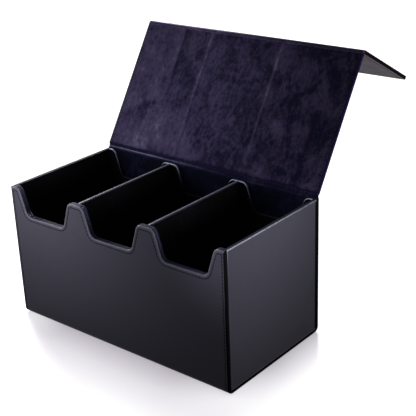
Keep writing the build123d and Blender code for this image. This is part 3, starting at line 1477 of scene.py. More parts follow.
@dataclass(frozen=True)
class NapMark:
    """A mark brushed into suede: a soft stroke, or the edge of a strip whose nap lies the other way."""

    start: Point
    end: Point
    width: float
    share: float
    edged: bool = False

    def at(self, x: float, along: float) -> float:
        """How much lighter or darker the nap is at a place.

        Args:
            x: Place across the panel.
            along: Place along it.

        Returns:
            A share that is above zero where the nap is lighter.
        """
        first, here = Vector(self.start), Vector((x, along))
        path = Vector(self.end) - first
        share = min(max((here - first).dot(path) / path.length_squared, 0.0), 1.0)
        gap = (here - first - path * share).length / self.width
        if not self.edged:
            return self.share * exp(-gap * gap)
        left = path.x * (along - first.y) - path.y * (x - first.x) < 0
        return self.share * exp(-gap) * (1 if left else -1)


# A place along a lined panel with its height, the tilt of its normal and its share of painted highlight, below zero
# of painted shade.
Fold = tuple[float, float, float, float]


@dataclass
class PanelLining:
    """The suede on the inner face of the back, the lid or the flap, rolled into its hinge grooves."""

    name: str
    body: Body
    sizes: BoxSizes
    finishes: Finishes
    frame: PanelFrame
    start: float
    end: float
    rolled_start: bool
    rolled_end: bool
    sewn: bool
    node: str
    rests_on: str
    dents: tuple[float, ...] = ()
    marks: tuple[NapMark, ...] = ()
    # A painted light share over the whole lining: below zero it is painted shade.
    painted_light: float = 0.0
    roll: float = 1.4
    # Painted highlight on the rolled ends, below zero painted shade.
    ridges: tuple[float, float] = (0.9, 0.9)
    dent_depth: float = 0.22
    dent_width: float = 1.1
    dent_shape: tuple[float, ...] = (-3.2, -2.0, -1.2, -0.6, 0.0, 0.6, 1.2, 2.0, 3.2)
    dent_room: float = 3.6
    # Painted highlight lines along the dents, fading in from the hinge.
    line_share: float = 0.6
    line_width: float = 1.5
    line_fade: tuple[float, float] = (8.0, 50.0)
    groove: float = 0.2
    groove_width: float = 0.32
    groove_shape: tuple[float, ...] = (-0.55, -0.3, 0.0, 0.3, 0.55)
    edge_drop: float = 0.5
    edge_width: float = 0.55
    edge_inset: float = 0.2
    least_sink: float = 0.05
    wave: float = 0.03
    wave_lengths: tuple[float, float, float, float] = (17.0, 23.0, 13.0, 31.0)
    seam_room: float = 2.0
    least_tilt: float = 1e-6
    tuck: float = 0.35
    roll_steps: int = 6
    step: float = 9.0

    def rolled(self, flat: float, towards: int, length: float, ridge: float) -> list[Fold]:
        """Places round a rolled end, from the groove up to the flat face.

        Args:
            flat: Where the flat face starts.
            towards: Direction along the panel from the flat face to the groove.
            length: Length of the roll along the panel.
            ridge: Share of painted highlight on the roll, below zero of painted shade.

        Returns:
            The places of the roll.
        """
        top, radius = self.sizes.panel / 2, self.sizes.edge_radius
        rows = [(flat + towards * length, self.tuck, towards * pi / 2, min(ridge, 0.0))]
        for k in range(self.roll_steps + 1):
            turn = k / self.roll_steps * pi / 2
            along, height = flat + towards * length * cos(turn), top - radius + radius * sin(turn)
            tilt = towards * atan2(cos(turn) / length, sin(turn) / radius)
            rows.append((along, height, tilt, ridge * sin(2 * turn)))
        return rows

    def section(self) -> list[Fold]:
        """The lining's section along the panel.

        Returns:
            Its places from start to end.
        """
        s = self.sizes
        top, radius = s.panel / 2, s.edge_radius
        flat_from = self.start + self.roll if self.rolled_start else self.start
        flat_to = self.end - radius if self.rolled_end else self.end
        rows = [(flat_from, top, 0.0, 0.0)]
        if self.rolled_start:
            rows = self.rolled(flat_from, -1, self.roll, self.ridges[0])
        count = max(2, round((flat_to - flat_from) / self.step))
        inner = [flat_from + (flat_to - flat_from) * k / count for k in range(1, count)]
        if self.sewn and not self.rolled_end:
            inner += [self.end + s.border - s.stitch_inset + shift for shift in self.groove_shape]
            inner += [self.end - self.edge_width, self.end - self.edge_inset]
        rows += [(along, top, 0.0, 0.0) for along in sorted(inner)]
        if self.rolled_end:
            return rows + self.rolled(flat_to, 1, radius, self.ridges[1])[::-1]
        return rows + [(flat_to, top, 0.0, 0.0)]

    def columns(self) -> list[float]:
        """Places across the panel, closer together at its edges, seams and dents.

        Returns:
            The places from left to right.
        """
        s = self.sizes
        edge, seam = s.half - s.border, s.half - s.stitch_inset
        half = [edge, edge - self.edge_inset, edge - self.edge_width]
        half += [seam + shift for shift in self.groove_shape]
        count = round(2 * seam / self.step)
        inner = [(seam - self.seam_room) * (2 * k / count - 1) for k in range(count + 1)]
        inner = [x for x in inner if all(abs(x - dent) > self.dent_room for dent in self.dents)]
        for dent in self.dents:
            inner += [dent + shift for shift in self.dent_shape]
        return sorted(inner + half + [-x for x in half])

    def sink(self, x: float, along: float) -> float:
        """How far the suede lies under its flat face at a place.

        Args:
            x: Place across the panel.
            along: Place along it.

        Returns:
            The depth in millimetres.
        """
        s = self.sizes
        beside = s.half - s.border - abs(x)
        side_seam, end_seam = s.half - s.stitch_inset, self.end + s.border - s.stitch_inset
        seam = abs(side_seam - abs(x))
        if not self.rolled_end:
            beside = min(beside, self.end - along)
            if abs(x) < side_seam:
                seam = abs(end_seam - along)
            elif along > end_seam:
                seam = max(seam, abs(end_seam - along))
        rolled = self.edge_drop * max(0.0, 1 - beside / self.edge_width) ** 2
        sewn = self.groove * exp(-(seam / self.groove_width) ** 2) if self.sewn else 0.0
        dented = sum(self.dent_depth * exp(-((x - dent) / self.dent_width) ** 2) for dent in self.dents)
        a, b, c, d = self.wave_lengths
        wave = self.wave * (1 + sin(x / a + along / b) * sin(along / c - x / d))
        return self.least_sink + rolled + sewn + dented + wave

    def nap(self, x: float, along: float) -> float:
        """How much lighter or darker the nap and its painted light are at a place.

        Args:
            x: Place across the panel.
            along: Place along it.

        Returns:
            The sum of its painted light, of the painted highlight lines along the dents and of all marks.
        """
        clear, fade = self.line_fade
        share = self.line_share * min(max((along - clear) / fade, 0.0), 1.0)
        lines = sum(share * exp(-((x - dent) / self.line_width) ** 2) for dent in self.dents)
        return self.painted_light + lines + sum(mark.at(x, along) for mark in self.marks)

    def build(self) -> Piece:
        """Makes the lining with its flat cloth places and sets it on its body.

        Returns:
            The lining.
        """
        s = self.sizes
        made = Loft()
        top, under = [], []
        columns = self.columns()
        for along, height, tilt, rub_and_painted_light in self.section():
            upper, lower = [], []
            tilted = abs(tilt) > self.least_tilt
            for x in columns:
                low = self.sink(x, along) * (cos(tilt) if tilted else 1.0)
                flat = (x * MM, (along + height * sin(tilt)) * MM)
                worn = rub_and_painted_light if tilted else self.nap(x, along)
                for row, deep, share in ((upper, low, worn), (lower, s.lining, 0.0)):
                    place = self.frame.at(x, along - deep * sin(tilt), height - deep * cos(tilt))
                    row.append(made.add(place, share, flat))
            top.append(upper)
            under.append(lower)
        made.sheet(top, under)
        suede = self.finishes.back_suede if self.body == Body.BOX else self.finishes.lid_suede
        piece = made.piece(self.name, suede.material())
        dress(piece, self.body, Slot.LID_SUEDE, self.node)
        return piece


@dataclass
class HingeStrip:
    """The bonded strip in a hinge groove: leatherette outside and suede inside."""

    name: str
    sizes: BoxSizes
    finishes: Finishes
    frame: PanelFrame
    distance: float
    bend: float
    groove: float
    bodies: tuple[Body, Body]
    node: str
    # Painted light over the whole strip: below zero painted shade, above zero painted highlight.
    painted_light: float
    rise: float
    # A painted highlight line across the strip at fold_at, fading out towards the right.
    fold: float
    fold_at: float
    fold_width: float = 0.26
    fold_highlight_reach: float = 0.4
    crease: float = 0.08
    crease_turns: float = 40.0
    steps: int = 14
    columns: int = 24
    tuck: float = 0.5
    side_gap: float = 0.2
    blend_gap: float = 0.05

    def build(self) -> Piece:
        """Makes the strip, bent as the box stands open.

        Returns:
            The strip.
        """
        s = self.sizes
        radius = self.groove / tan(radians(self.bend) / 2)
        first = self.distance - self.groove
        half = s.half - self.side_gap
        across = [half * (2 * c / self.columns - 1) for c in range(self.columns + 1)]
        made = Loft()
        grids = []
        for level in (self.rise, -s.strip / 2):
            grid = []
            for k in range(-1, self.steps + 2):
                turn = radians(self.bend) * min(max(k, 0), self.steps) / self.steps
                slide = self.tuck if k > self.steps else -self.tuck if k < 0 else 0.0
                crease = self.crease * sin(turn * self.crease_turns) if 0 < k < self.steps else 0.0
                reach = radius + level + crease
                along = first + reach * sin(turn) + slide * cos(turn)
                depth = -radius + reach * cos(turn) - slide * sin(turn)
                # Painted highlight along the fold line, strongest on the left.
                fold = self.fold * exp(-((k / self.steps - self.fold_at) / self.fold_width) ** 2)
                row = []
                for x in across:
                    worn = self.painted_light + fold * min(max(self.fold_highlight_reach - x / half, 0.0), 1.0)
                    row.append(made.add(self.frame.at(x, along, depth), worn, (x * MM, (along + depth) * MM)))
                grid.append(row)
                if level > 0 and k in (0, self.steps):
                    self.frame.at(0, first + radius * sin(turn), -radius + radius * cos(turn))
            grids.append(grid)
        made.sheet(*grids, 1)
        suede, cover = self.finishes.lid_suede, self.finishes.leatherette
        piece = made.piece(self.name, suede.material(), cover.material())
        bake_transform(piece)
        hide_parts(self.node)
        bodies = [body.value for body in self.bodies]
        LOG.info("%s: %d faces between %s and %s", piece.name, len(piece.data.polygons), *bodies)
        return piece


@dataclass
class Tray:
    """The open tray in the wrap: covered sides, bound rims and dividers, and linings."""

    sizes: BoxSizes
    finishes: Finishes
    corner: float = 1.2
    foot: float = 2.5
    tight: float = 0.02
    arc_steps: int = 6
    bound_radius: float = 0.8
    # How far down the front edge the painted highlight fades out.
    highlight_drop: float = 20.0
    notch_steps: int = 9
    binding_swell: float = 0.06
    # Share of wear and painted highlight across the binding's section.
    binding_wear_and_light: tuple[float, ...] = (0.0, 0.0, 0.2, 0.7, 1.0, 0.8, 0.2, 0.0, 0.0, 0.0, 0.0, 0.0, 0.0)
    divider_crown: tuple[Point, ...] = ((0.75, 0.0), (0.45, 0.04))
    divider_top: float = 0.05
    divider_low: float = 0.1
    # Painted highlight along the divider's crown, fading towards the back.
    divider_wear: tuple[float, ...] = (0.0, 0.0, 0.0, 0.0, 0.0, 0.0, 0.05, 0.3, 1.0)
    divider_fade: float = 0.6
    divider_steps: int = 12
    cloth_step: float = 9.0
    cloth_wave: float = 0.06
    cloth_turns: tuple[float, float, float, float] = (9.0, 5.0, 7.0, 4.0)
    # Shares of wear and painted highlight on the side's bottom, top and front edges.
    low_wear_and_light: float = 0.05
    top_wear_and_light: float = 0.3
    front_wear_and_light: float = 0.5

    def side_cover(self, name: str, sign: int, turned: Finish) -> Piece:
        """The turned leatherette cover of one side.

        Args:
            name: Left or right.
            sign: The side's direction along X.
            turned: Finish of its turned edge.

        Returns:
            The cover.
        """
        s = self.sizes

        def outline(inset: float) -> list[Point]:
            """The side's outline as places along Y and Z, drawn in by an inset.

            Args:
                inset: Distance in from the finished outline.

            Returns:
                The points of the closed outline.
            """
            low, high = s.tray_front + inset, s.tray_back - inset
            foot, top = s.front_stack + inset, s.rim - inset
            turns = [(low, foot), (high, foot), (high, top), (low, top)]
            radii = [max(r - inset, self.tight) for r in (self.foot, self.foot, self.corner, self.corner)]
            path = []
            for k in range(4):
                path += rounded_corner(turns[k - 1], turns[k], turns[(k + 1) % 4], radii[k], self.arc_steps)
            return path + [(low, s.rim - self.highlight_drop)]

        arc = self.arc_steps + 1
        beside = RimPoint(s.half - s.board_half, 0.0, False)
        over = RimPoint(s.half - s.room_half, 0.0, False)
        # A painted highlight along the side's edges: brightest at the top front, fading down the front edge and
        # towards the back, faint along the bottom.
        lower = replace(beside, rub_and_painted_light=self.low_wear_and_light)
        back = replace(beside, rub_and_painted_light=0.0, painted=True)
        rim = [lower] * (arc + arc // 2) + [back] * arc
        rim += [replace(over, rub_and_painted_light=self.top_wear_and_light)] * (arc - arc // 2) + [over] * (arc - arc // 2)
        rim += [replace(beside, rub_and_painted_light=self.front_wear_and_light)] * (arc // 2) + [lower]
        rings = TurnedEdge(s.edge_radius, s.cover, s.cover, band=0.0, painted=-2).rings()
        skin = Skin(outline, rim, lambda y, z, depth: Vector((sign * (s.half - depth), y, z)) * MM, rings)
        piece = skin.loft().piece(f"{name}_side_skin", *self.finishes.covered(turned))
        return dress(piece, Body.BOX, Slot.LEATHERETTE, f"{name}_side_cover")

    def rim_binding(self, name: str, node: str, low: float, high: float, finish: Finish, fade: float,
                    least: float) -> Piece:
        """The binding over a notched rim, swept along it.

        Args:
            name: Name of the piece.
            node: The solid that it replaces.
            low: Its front, along Y.
            high: Its back, along Y.
            finish: Its finish.
            fade: How far down from the rim its painted highlight reaches.
            least: Share of the painted highlight that stays in the notches.

        Returns:
            The binding.
        """
        s = self.sizes
        radius = self.bound_radius
        arc = [k / 4 * pi / 2 for k in range(5)]
        section = [(s.cover, low)] + [(radius * (1 - sin(a)), low + radius * (1 - cos(a))) for a in arc]
        section += [(-self.binding_swell, (low + high) / 2)]
        section += [(radius * (1 - sin(a)), high - radius * (1 - cos(a))) for a in arc[::-1]]
        section += [(s.cover, high)]
        made = Loft()
        rows = []
        for (inset, y), share in zip(section, self.binding_wear_and_light):
            ends = ((-s.room_half, inset), (s.room_half, inset))
            path = [ends[0], *rounded_path(notched_corners(s, inset), *ends, self.notch_steps), ends[1]]
            row = []
            for x, drop in path:
                # Painted highlight, brightest at the top of the tabs.
                rub_and_painted_light = share * max(least, exp(-(drop / fade) ** 2))
                row.append(made.add(Vector((x, y, s.rim - drop)) * MM, rub_and_painted_light))
            rows.append(row)
        for first, second in zip(rows, rows[1:] + rows[:1]):
            made.bridge(first, second, False)
        for end in (0, -1):
            made.face([row[end] for row in rows])
        piece = made.piece(name, finish.material())
        return dress(piece, Body.BOX, Slot.BINDING, node)

    def divider_binding(self, number: int, centre: float) -> Piece:
        """The rounded binding along the top of one divider.

        Args:
            number: The divider's number from the left.
            centre: Its middle, along X.

        Returns:
            The binding.
        """
        s = self.sizes
        half, radius, top = s.divider / 2, self.bound_radius, s.rim - self.divider_low
        arc = [k / 5 * pi / 2 for k in range(6)]
        side = [(half, s.wall_top)]
        side += [(half - radius * (1 - cos(a)), top - radius * (1 - sin(a))) for a in arc]
        side += [(x, s.rim + rise) for x, rise in self.divider_crown]
        section = [(-x, z) for x, z in side] + [(0.0, s.rim + self.divider_top)] + side[::-1]
        # A thin painted highlight on the crown, fading towards the back.
        worn = [*self.divider_wear, 1.0, *self.divider_wear[::-1]]
        made = Loft()
        rows = []
        for k in range(self.divider_steps + 1):
            share = k / self.divider_steps
            y = s.room_front + (s.room_back - s.room_front) * share
            rows.append([made.add(Vector((centre + x, y, z)) * MM, rub_and_painted_light * (1 - self.divider_fade * share))
                         for (x, z), rub_and_painted_light in zip(section, worn)])
        for first, second in zip(rows, rows[1:]):
            made.bridge(first, second)
        for end in (rows[0], rows[-1]):
            made.face(end)
        piece = made.piece(f"divider_{number}_rim", self.finishes.binding.material())
        return dress(piece, Body.BOX, Slot.BINDING, f"divider_{number}_binding")

    def flat_lining(self, name: str, node: str, rests_on: str, corners: Sequence[Vector], thickness: Vector) -> Piece:
        """A flat suede lining glued to its board.

        Args:
            name: Name of the piece.
            node: The solid that it replaces.
            rests_on: The board that it lies on; not used.
            corners: Three corners of its face: the first, one across from it and one along from it.
            thickness: From the face to the board.

        Returns:
            The lining.
        """
        origin, across, along = corners[0], corners[1] - corners[0], corners[2] - corners[0]
        columns, rows = (max(4, round(side.length / self.cloth_step)) for side in (across, along))
        made = Loft()
        top, under = [], []
        a, b, c, d = self.cloth_turns
        for r in range(rows + 1):
            upper, lower = [], []
            for k in range(columns + 1):
                u, v = k / columns, r / rows
                place = origin + across * u + along * v
                flat = (u * across.length * MM, v * along.length * MM)
                inner = min(u, 1 - u, v, 1 - v) > 0
                sunk = self.cloth_wave * (1 + sin(a * u + b * v) * sin(c * v - d * u)) * inner
                upper.append(made.add((place + thickness.normalized() * sunk) * MM, 0.0, flat))
                lower.append(made.add((place + thickness) * MM, 0.0, flat))
            top.append(upper)
            under.append(lower)
        made.sheet(top, under)
        piece = made.piece(name, self.finishes.row_suede.material())
        dress(piece, Body.BOX, Slot.ROW_SUEDE, node)
        return piece

    def notched_lining(self, name: str, node: str, centre: float, face: float,
                       back: float) -> Piece:
        """The suede lining of one row's front or back wall, cut to the notch.

        Args:
            name: Name of the piece.
            node: The solid that it replaces.
            centre: Middle of the row.
            face: Its face, along Y.
            back: Its back on the board, along Y.

        Returns:
            The lining.
        """
        s = self.sizes
        half = s.row_width / 2
        ends = ((centre - half, s.cover), (centre + half, s.cover))
        near = [corner for corner in notched_corners(s, s.cover) if abs(corner[0][0] - centre) < half]
        rim = [ends[0], *rounded_path(near, *ends, self.notch_steps), ends[1]]
        outline = [(x, s.rim - drop) for x, drop in rim]
        outline += [(centre + half, s.floor_top), (centre - half, s.floor_top)]
        made = Loft()
        rows = []
        for y in (face, back):
            row = []
            for x, z in outline:
                flat = ((x - centre + half) * MM, (z - s.floor_top) * MM)
                row.append(made.add(Vector((x, y, z)) * MM, 0.0, flat))
            rows.append(row)
        made.bridge(*rows)
        for row in rows:
            made.face(row)
        piece = made.piece(name, self.finishes.row_suede.material())
        dress(piece, Body.BOX, Slot.ROW_SUEDE, node)
        sides = zip(outline, outline[1:] + outline[:1])
        area = abs(sum(a[0] * b[1] - b[0] * a[1] for a, b in sides)) / 2 * MM * MM
        return piece

    def build(self) -> None:
        """Makes all pieces of the tray."""
        s = self.sizes
        f = self.finishes
        # Only the right side gets the painted highlight on its edges; the left keeps the plain leatherette there.
        self.side_cover("left", -1, f.leatherette)
        self.side_cover("right", 1, f.side_edge_highlight)
        self.rim_binding("tray_front_rim", "tray_front_binding", s.tray_front, s.room_front, f.front_binding,
                         fade=40.0, least=0.5)
        self.rim_binding("tray_back_rim", "tray_back_binding", s.room_back, s.tray_back, f.back_binding,
                         fade=5.0, least=0.04)
        low, high = s.floor_top, s.wall_top
        inside = (s.tray_front + s.tray_board, s.tray_back - s.tray_board)

        def upright(wall: str, board: str, x: float, into: float) -> None:
            """A lining on a wall that runs from front to back.

            Args:
                wall: Name of the lined wall.
                board: Name of the board that it lies on.
                x: Its face, along X.
                into: Direction from the face to the board.
            """
            corners = [Vector((x, y, z)) for y, z in ((inside[0], low), (inside[1], low), (inside[0], high))]
            thickness = Vector((into * s.lining, 0, 0))
            self.flat_lining(f"{wall}_suede", f"{wall}_lining", board, corners, thickness)

        upright("left_side", "left_side_board", -s.room_half, -1)
        upright("right_side", "right_side_board", s.room_half, 1)
        for k, centre in enumerate(s.divider_centres, 1):
            self.divider_binding(k, centre)
            upright(f"divider_{k}_left", f"divider_{k}_board", centre - s.divider / 2, 1)
            upright(f"divider_{k}_right", f"divider_{k}_board", centre + s.divider / 2, -1)
        for k, centre in enumerate(s.row_centres, 1):
            for wall, face, back in (("front", s.room_front, inside[0]), ("back", s.room_back, inside[1])):
                self.notched_lining(f"row_{k}_{wall}_suede", f"row_{k}_{wall}_lining",
                                    centre, face, back)
            left, right, top = centre - s.row_width / 2, centre + s.row_width / 2, s.floor_top + s.lining
            places = ((left, s.room_front), (right, s.room_front), (left, s.room_back))
            self.flat_lining(f"row_{k}_floor_suede", f"row_{k}_floor_lining", "tray_floor_board",
                             [Vector((x, y, top)) for x, y in places], Vector((0, 0, -s.lining)))


@dataclass(frozen=True)
class Softbox:
    """One soft studio lamp."""

    name: str
    place: tuple[float, float, float]
    aim: tuple[float, float, float]
    size: tuple[float, float]
    power: float
    beam: float = 180.0
    colour: Colour = (1.0, 1.0, 1.0)

    def build(self) -> None:
        """Sets the lamp up."""
        lamp = bpy.data.lights.new(self.name, "AREA")
        lamp.shape = "RECTANGLE"
        lamp.size, lamp.size_y = self.size
        lamp.energy = self.power
        lamp.spread = radians(self.beam)
        lamp.color = self.colour
        stand = bpy.data.objects.new(self.name, lamp)
        stand.location = self.place
        stand.visible_camera = False
        stand.rotation_euler = (Vector(self.aim) - Vector(self.place)).to_track_quat("-Z", "Y").to_euler()
        bpy.context.scene.collection.objects.link(stand)


@dataclass(frozen=True)
class Viewpoint:
    """The camera's stand: eye in millimetres, angles in degrees."""

    eye: tuple[float, float, float] = (641.70, -691.00, 523.05)
    azimuth: float = 39.921
    elevation: float = 22.614
    roll: float = -2.268
    lens: float = 84.986
    sensor: float = 36.0
    clip: tuple[float, float] = (0.05, 50.0)

    def build(self) -> None:
        """Makes the camera."""
        turn, lift, tilt = radians(self.azimuth), radians(self.elevation), radians(self.roll)
        back = Vector((sin(turn) * cos(lift), -cos(turn) * cos(lift), sin(lift)))
        right = (-back).cross(Vector((0, 0, 1))).normalized()
        up = right.cross(-back)
        across = right * cos(tilt) + up * sin(tilt)
        above = up * cos(tilt) - right * sin(tilt)
        camera = bpy.data.objects.new("camera", bpy.data.cameras.new("camera"))
        camera.data.sensor_width = self.sensor
        camera.data.lens = self.lens
        camera.data.clip_start, camera.data.clip_end = self.clip
        matrix = Matrix((across, above, back)).transposed().to_4x4()
        matrix.translation = Vector(self.eye) * MM
        camera.matrix_world = matrix
        bpy.context.scene.collection.objects.link(camera)
        bpy.context.scene.camera = camera


@dataclass
class Studio:
    """A white room with soft lamps."""

    lamps: tuple[Softbox, ...] = (
        Softbox("front_left_softbox", (-0.189, -0.57, 0.235), (-0.12, -0.076, 0.2), (0.2, 0.2), 0.464, 40.0),
        Softbox("left_softbox", (-0.529, -0.363, 0.235), (-0.12, -0.076, 0.2), (0.2, 0.2), 0.215, 40.0),
        Softbox("right_softbox", (0.627, 0.109, 0.255), (0.145, -0.02, 0.22), (0.2, 0.2), 0.39, 40.0),
        Softbox("right_fill", (0.627, -0.149, 0.195), (0.145, -0.02, 0.16), (0.2, 0.2), 0.121, 40.0),
        Softbox("lid_softbox", (-0.485, 0.176, 0.387), (-0.11, 0.11, 0.21), (0.2, 0.2), 4.684, 180.0),
        Softbox("rim_softbox", (-0.2, 0.5, 0.45), (-0.1, 0.156, 0.284), (0.1, 0.1), 1.0, 24.0,
                (1.0, 0.92, 0.88)),
        Softbox("front_right_softbox", (0.13, -0.6, 0.3), (0.138, -0.076, 0.15), (0.05, 0.05), 0.03, 14.0),
        Softbox("flap_softbox", (0.6, 0.15, 0.08), (0.13, 0.2, 0.26), (0.1, 0.1), 0.15, 25.0,
                (1.0, 0.7, 0.76)),
    )
    floor_half: float = 6.0
    floor_level: float = -0.0003
    floor_colour: Colour = (0.3, 0.292, 0.308)
    floor_rough: float = 0.3
    foot: tuple[float, float] = (0.145, 0.0765)
    floor_near: float = 0.3
    floor_far: float = 0.7
    shade_reach: float = 0.05
    shade_samples: int = 16
    shade_slope: float = 0.38
    shade_clear: float = 0.88
    shade_tint: Colour = (1.0, 0.945, 1.04)
    mirror_share: float = 0.44
    mirror_rough: float = 0.15
    mirror_fade: tuple[float, float] = (0.04, 0.08)
    corner_reach: float = 0.075
    corner_share: float = 0.3
    room_light: float = 0.04

    def floor(self) -> None:
        """The pale floor, lifted to white for the eye and for reflections."""
        h = self.floor_half
        mesh = bpy.data.meshes.new("floor")
        mesh.from_pydata([(-h, -h, 0), (h, -h, 0), (h, h, 0), (-h, h, 0)], [], [(0, 1, 2, 3)])
        mesh.transform(Matrix.Translation((0, 0, self.floor_level)))
        material = bpy.data.materials.new("pale_floor")
        material.use_nodes = True
        material.node_tree.nodes.clear()
        nodes = Nodes(material.node_tree)
        shader = nodes.add("ShaderNodeBsdfPrincipled",
                           {"Base Color": (*self.floor_colour, 1), "Roughness": self.floor_rough})
        light = nodes.add("ShaderNodeEmission")
        path = nodes.add("ShaderNodeLightPath")
        place = nodes.add("ShaderNodeTexCoord").outputs["Object"]
        away = nodes.add("ShaderNodeVectorMath", {0: place}, operation="LENGTH").outputs["Value"]
        # Painted shadow: the lift to white is darkened by ambient occlusion round the box and tinted lavender near
        # its foot.
        sky = nodes.add("ShaderNodeAmbientOcclusion", {"Distance": self.shade_reach},
                        samples=self.shade_samples).outputs["AO"]
        least = 1.0 - self.shade_slope * self.shade_clear
        shaded = nodes.math("MULTIPLY_ADD", sky, self.shade_slope, least, clamp=True)
        far = nodes.span(away, self.floor_near, self.floor_far)
        lift = nodes.math("MULTIPLY", nodes.seen(path), nodes.math("MAXIMUM", shaded, far))
        mixed = nodes.add("ShaderNodeAddShader", {0: shader.outputs[0], 1: light.outputs[0]})
        axes = nodes.add("ShaderNodeSeparateXYZ", {0: place})
        out = []
        for axis, edge, fade in zip("XY", self.foot, self.mirror_fade):
            beyond = nodes.math("SUBTRACT", nodes.math("ABSOLUTE", axes.outputs[axis]), edge)
            out.append(nodes.math("DIVIDE", nodes.math("MAXIMUM", beyond, 0.0), fade))
        squares = nodes.math("ADD", *(nodes.math("MULTIPLY", gap, gap) for gap in out))
        near = nodes.math("SUBTRACT", 1.0, nodes.math("SQRT", squares), clamp=True)
        across = nodes.math("ABSOLUTE", axes.outputs["X"])
        folded = nodes.add("ShaderNodeCombineXYZ", {"X": across, "Y": axes.outputs["Y"]})
        foot = (self.foot[0], -self.foot[1], 0.0)
        corner = nodes.add("ShaderNodeVectorMath", {0: folded.outputs[0], 1: foot},
                           operation="DISTANCE").outputs["Value"]
        near = nodes.math("MULTIPLY", near, nodes.span(corner, 0.0, self.corner_reach, self.corner_share))
        nodes.fill(light, {"Color": nodes.mix(near, (1.0, 1.0, 1.0), self.shade_tint), "Strength": lift})
        share = nodes.math("MULTIPLY", near, self.mirror_share)
        share = nodes.math("MULTIPLY", share, path.outputs["Is Camera Ray"])
        mirror = nodes.add("ShaderNodeBsdfGlossy", {"Color": (1, 1, 1, 1), "Roughness": self.mirror_rough})
        mixed = nodes.add("ShaderNodeMixShader", {0: share, 1: mixed.outputs[0], 2: mirror.outputs[0]})
        nodes.add("ShaderNodeOutputMaterial", {"Surface": mixed.outputs[0]})
        mesh.materials.append(material)
        ground = bpy.data.objects.new("floor", mesh)
        bpy.context.scene.collection.objects.link(ground)

    def room(self) -> None:
        """The white room round the box."""
        world = bpy.data.worlds.new("studio")
        bpy.context.scene.world = world
        world.use_nodes = True
        world.node_tree.nodes.clear()
        nodes = Nodes(world.node_tree)
        seen = nodes.seen(nodes.add("ShaderNodeLightPath"))
        strength = nodes.span(seen, 0.0, 1.0, self.room_light, 1.0)
        air = nodes.add("ShaderNodeBackground", {"Color": (1, 1, 1, 1), "Strength": strength})
        nodes.add("ShaderNodeOutputWorld", {"Surface": air.outputs[0]})

    def build(self) -> None:
        """Sets up floor, room and lamps."""
        self.floor()
        self.room()
        for lamp in self.lamps:
            lamp.build()
        bpy.context.scene.view_settings.view_transform = "Standard"


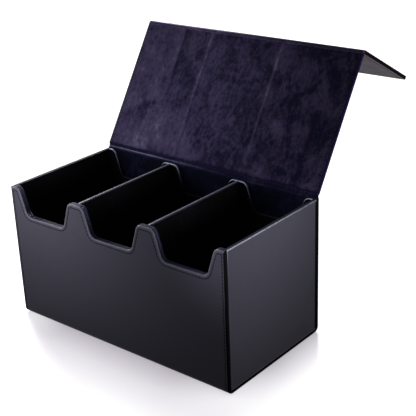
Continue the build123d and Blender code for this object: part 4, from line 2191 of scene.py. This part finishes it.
@dataclass
class CardBox:
    """The whole box: wrap, tray, lid and flap."""

    sizes: BoxSizes
    finishes: Finishes
    thread_depth: float = 0.68
    lid_marks: tuple[NapMark, ...] = (
        # The first mark is painted shade along the hinge groove.
        NapMark((-145.0, 2.0), (145.0, 2.0), 1.6, -1.0),
        NapMark((-132.0, 20.0), (-132.0, 140.0), 42.0, 0.24),
        NapMark((-87.0, 153.0), (-85.5, 106.0), 15.0, 0.42, True),
        NapMark((-103.0, 8.0), (-86.0, 36.0), 16.0, 0.28),
        NapMark((-40.0, 20.0), (-40.0, 100.0), 20.0, 0.12),
        NapMark((-118.0, 71.0), (-115.0, 64.0), 6.0, -0.35),
        NapMark((-111.0, 55.0), (-109.0, 42.0), 5.0, -0.35),
        NapMark((66.0, 90.0), (66.0, 140.0), 16.0, -0.15),
        NapMark((81.0, 86.0), (94.0, 47.0), 2.2, -0.4),
        NapMark((84.0, 90.0), (88.0, 68.0), 8.0, -0.25),
        NapMark((115.0, 76.0), (114.0, 4.0), 5.0, -0.35),
        NapMark((119.0, 128.0), (132.0, 96.0), 6.0, -0.35),
        NapMark((64.0, 62.0), (78.0, 52.0), 9.0, 0.2),
        NapMark((58.0, 23.0), (100.0, 14.0), 3.0, -0.3),
    )

    def solids(self) -> None:
        """Gives every solid that stays its own finish."""
        for name, node in frame["nodes"].items():
            finish = self.finishes.leatherette
            if name.endswith("_board"):
                finish = self.finishes.board
            elif name.endswith("_magnets"):
                finish = self.finishes.magnet
            elif name.endswith("_lining"):
                finish = self.finishes.row_suede
            node.data.materials.clear()
            node.data.materials.append(finish.material())

    def build(self) -> None:
        """Makes every piece in order."""
        s, f = self.sizes, self.finishes
        back, lid, flap = panel_frames(s)
        self.solids()
        wrap = Wrap(s, f)
        wrap.build()
        Tray(s, f).build()
        lid_end, flap_start = s.lid_span - s.flap_groove, s.flap_groove
        panels = [Panel("lid_skin", Body.LID, s, f, lid, s.lid_groove, lid_end, free_end=False,
                        node="lid_cover"),
                  Panel("flap_skin", Body.FLAP, s, f, flap, flap_start, s.flap_reach, free_end=True,
                        node="flap_cover")]
        for panel in panels:
            panel.build()
        back_start = s.fold_radius - back.origin.z
        # The back lining: a painted shade tone below zero over it and a faint painted highlight on its top roll.
        PanelLining("back_suede", Body.BOX, s, f, back, back_start, -s.lid_groove, rolled_start=False,
                    rolled_end=True, sewn=False, node="back_lining", rests_on="back_board", painted_light=-0.3,
                    ridges=(0.0, 0.2)).build()
        # Lid ridges: painted shade on the hinge roll, painted highlight on the far roll.
        PanelLining("lid_suede", Body.LID, s, f, lid, s.lid_groove, lid_end, rolled_start=True,
                    rolled_end=True, sewn=True, node="lid_lining", rests_on="lid_board",
                    dents=tuple(s.divider_centres), marks=self.lid_marks, roll=1.8, ridges=(-1.0, 0.9),
                    step=2.5).build()
        PanelLining("flap_suede", Body.FLAP, s, f, flap, flap_start, s.flap_reach - s.border,
                    rolled_start=True, rolled_end=False, sewn=True, node="flap_lining",
                    rests_on="flap_board").build()
        # Hinge strips: the lid's gets painted shade and a painted highlight line, the flap's a painted highlight and
        # a highlight line.
        HingeStrip("lid_hinge_band", s, f, back, 0.0, s.lid_open - 90, s.lid_groove, (Body.BOX, Body.LID),
                   node="lid_hinge_strip", painted_light=-0.55, rise=s.strip / 2, fold=1.7, fold_at=0.3).build()
        HingeStrip("flap_hinge_band", s, f, lid, s.lid_span, s.flap_back, s.flap_groove,
                   (Body.LID, Body.FLAP), node="flap_hinge_strip", painted_light=0.3, rise=2.0, fold=1.3,
                   fold_at=0.6).build()
        sewing = Stitching(f.thread.material())
        dress(sewing.sew("wrap_stitches", [wrap.seam(self.thread_depth)]), Body.BOX, None)
        for panel in panels:
            name = panel.name.replace("skin", "stitches")
            dress(sewing.sew(name, panel.seams(self.thread_depth)), panel.body, None)


def main() -> None:
    """Builds the box, its studio and its camera."""
    logging.basicConfig(level=logging.INFO, format="%(name)s %(message)s")
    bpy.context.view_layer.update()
    Viewpoint().build()
    Studio().build()
    CardBox(BoxSizes(), Finishes()).build()


if __name__ == "__main__":
    main()
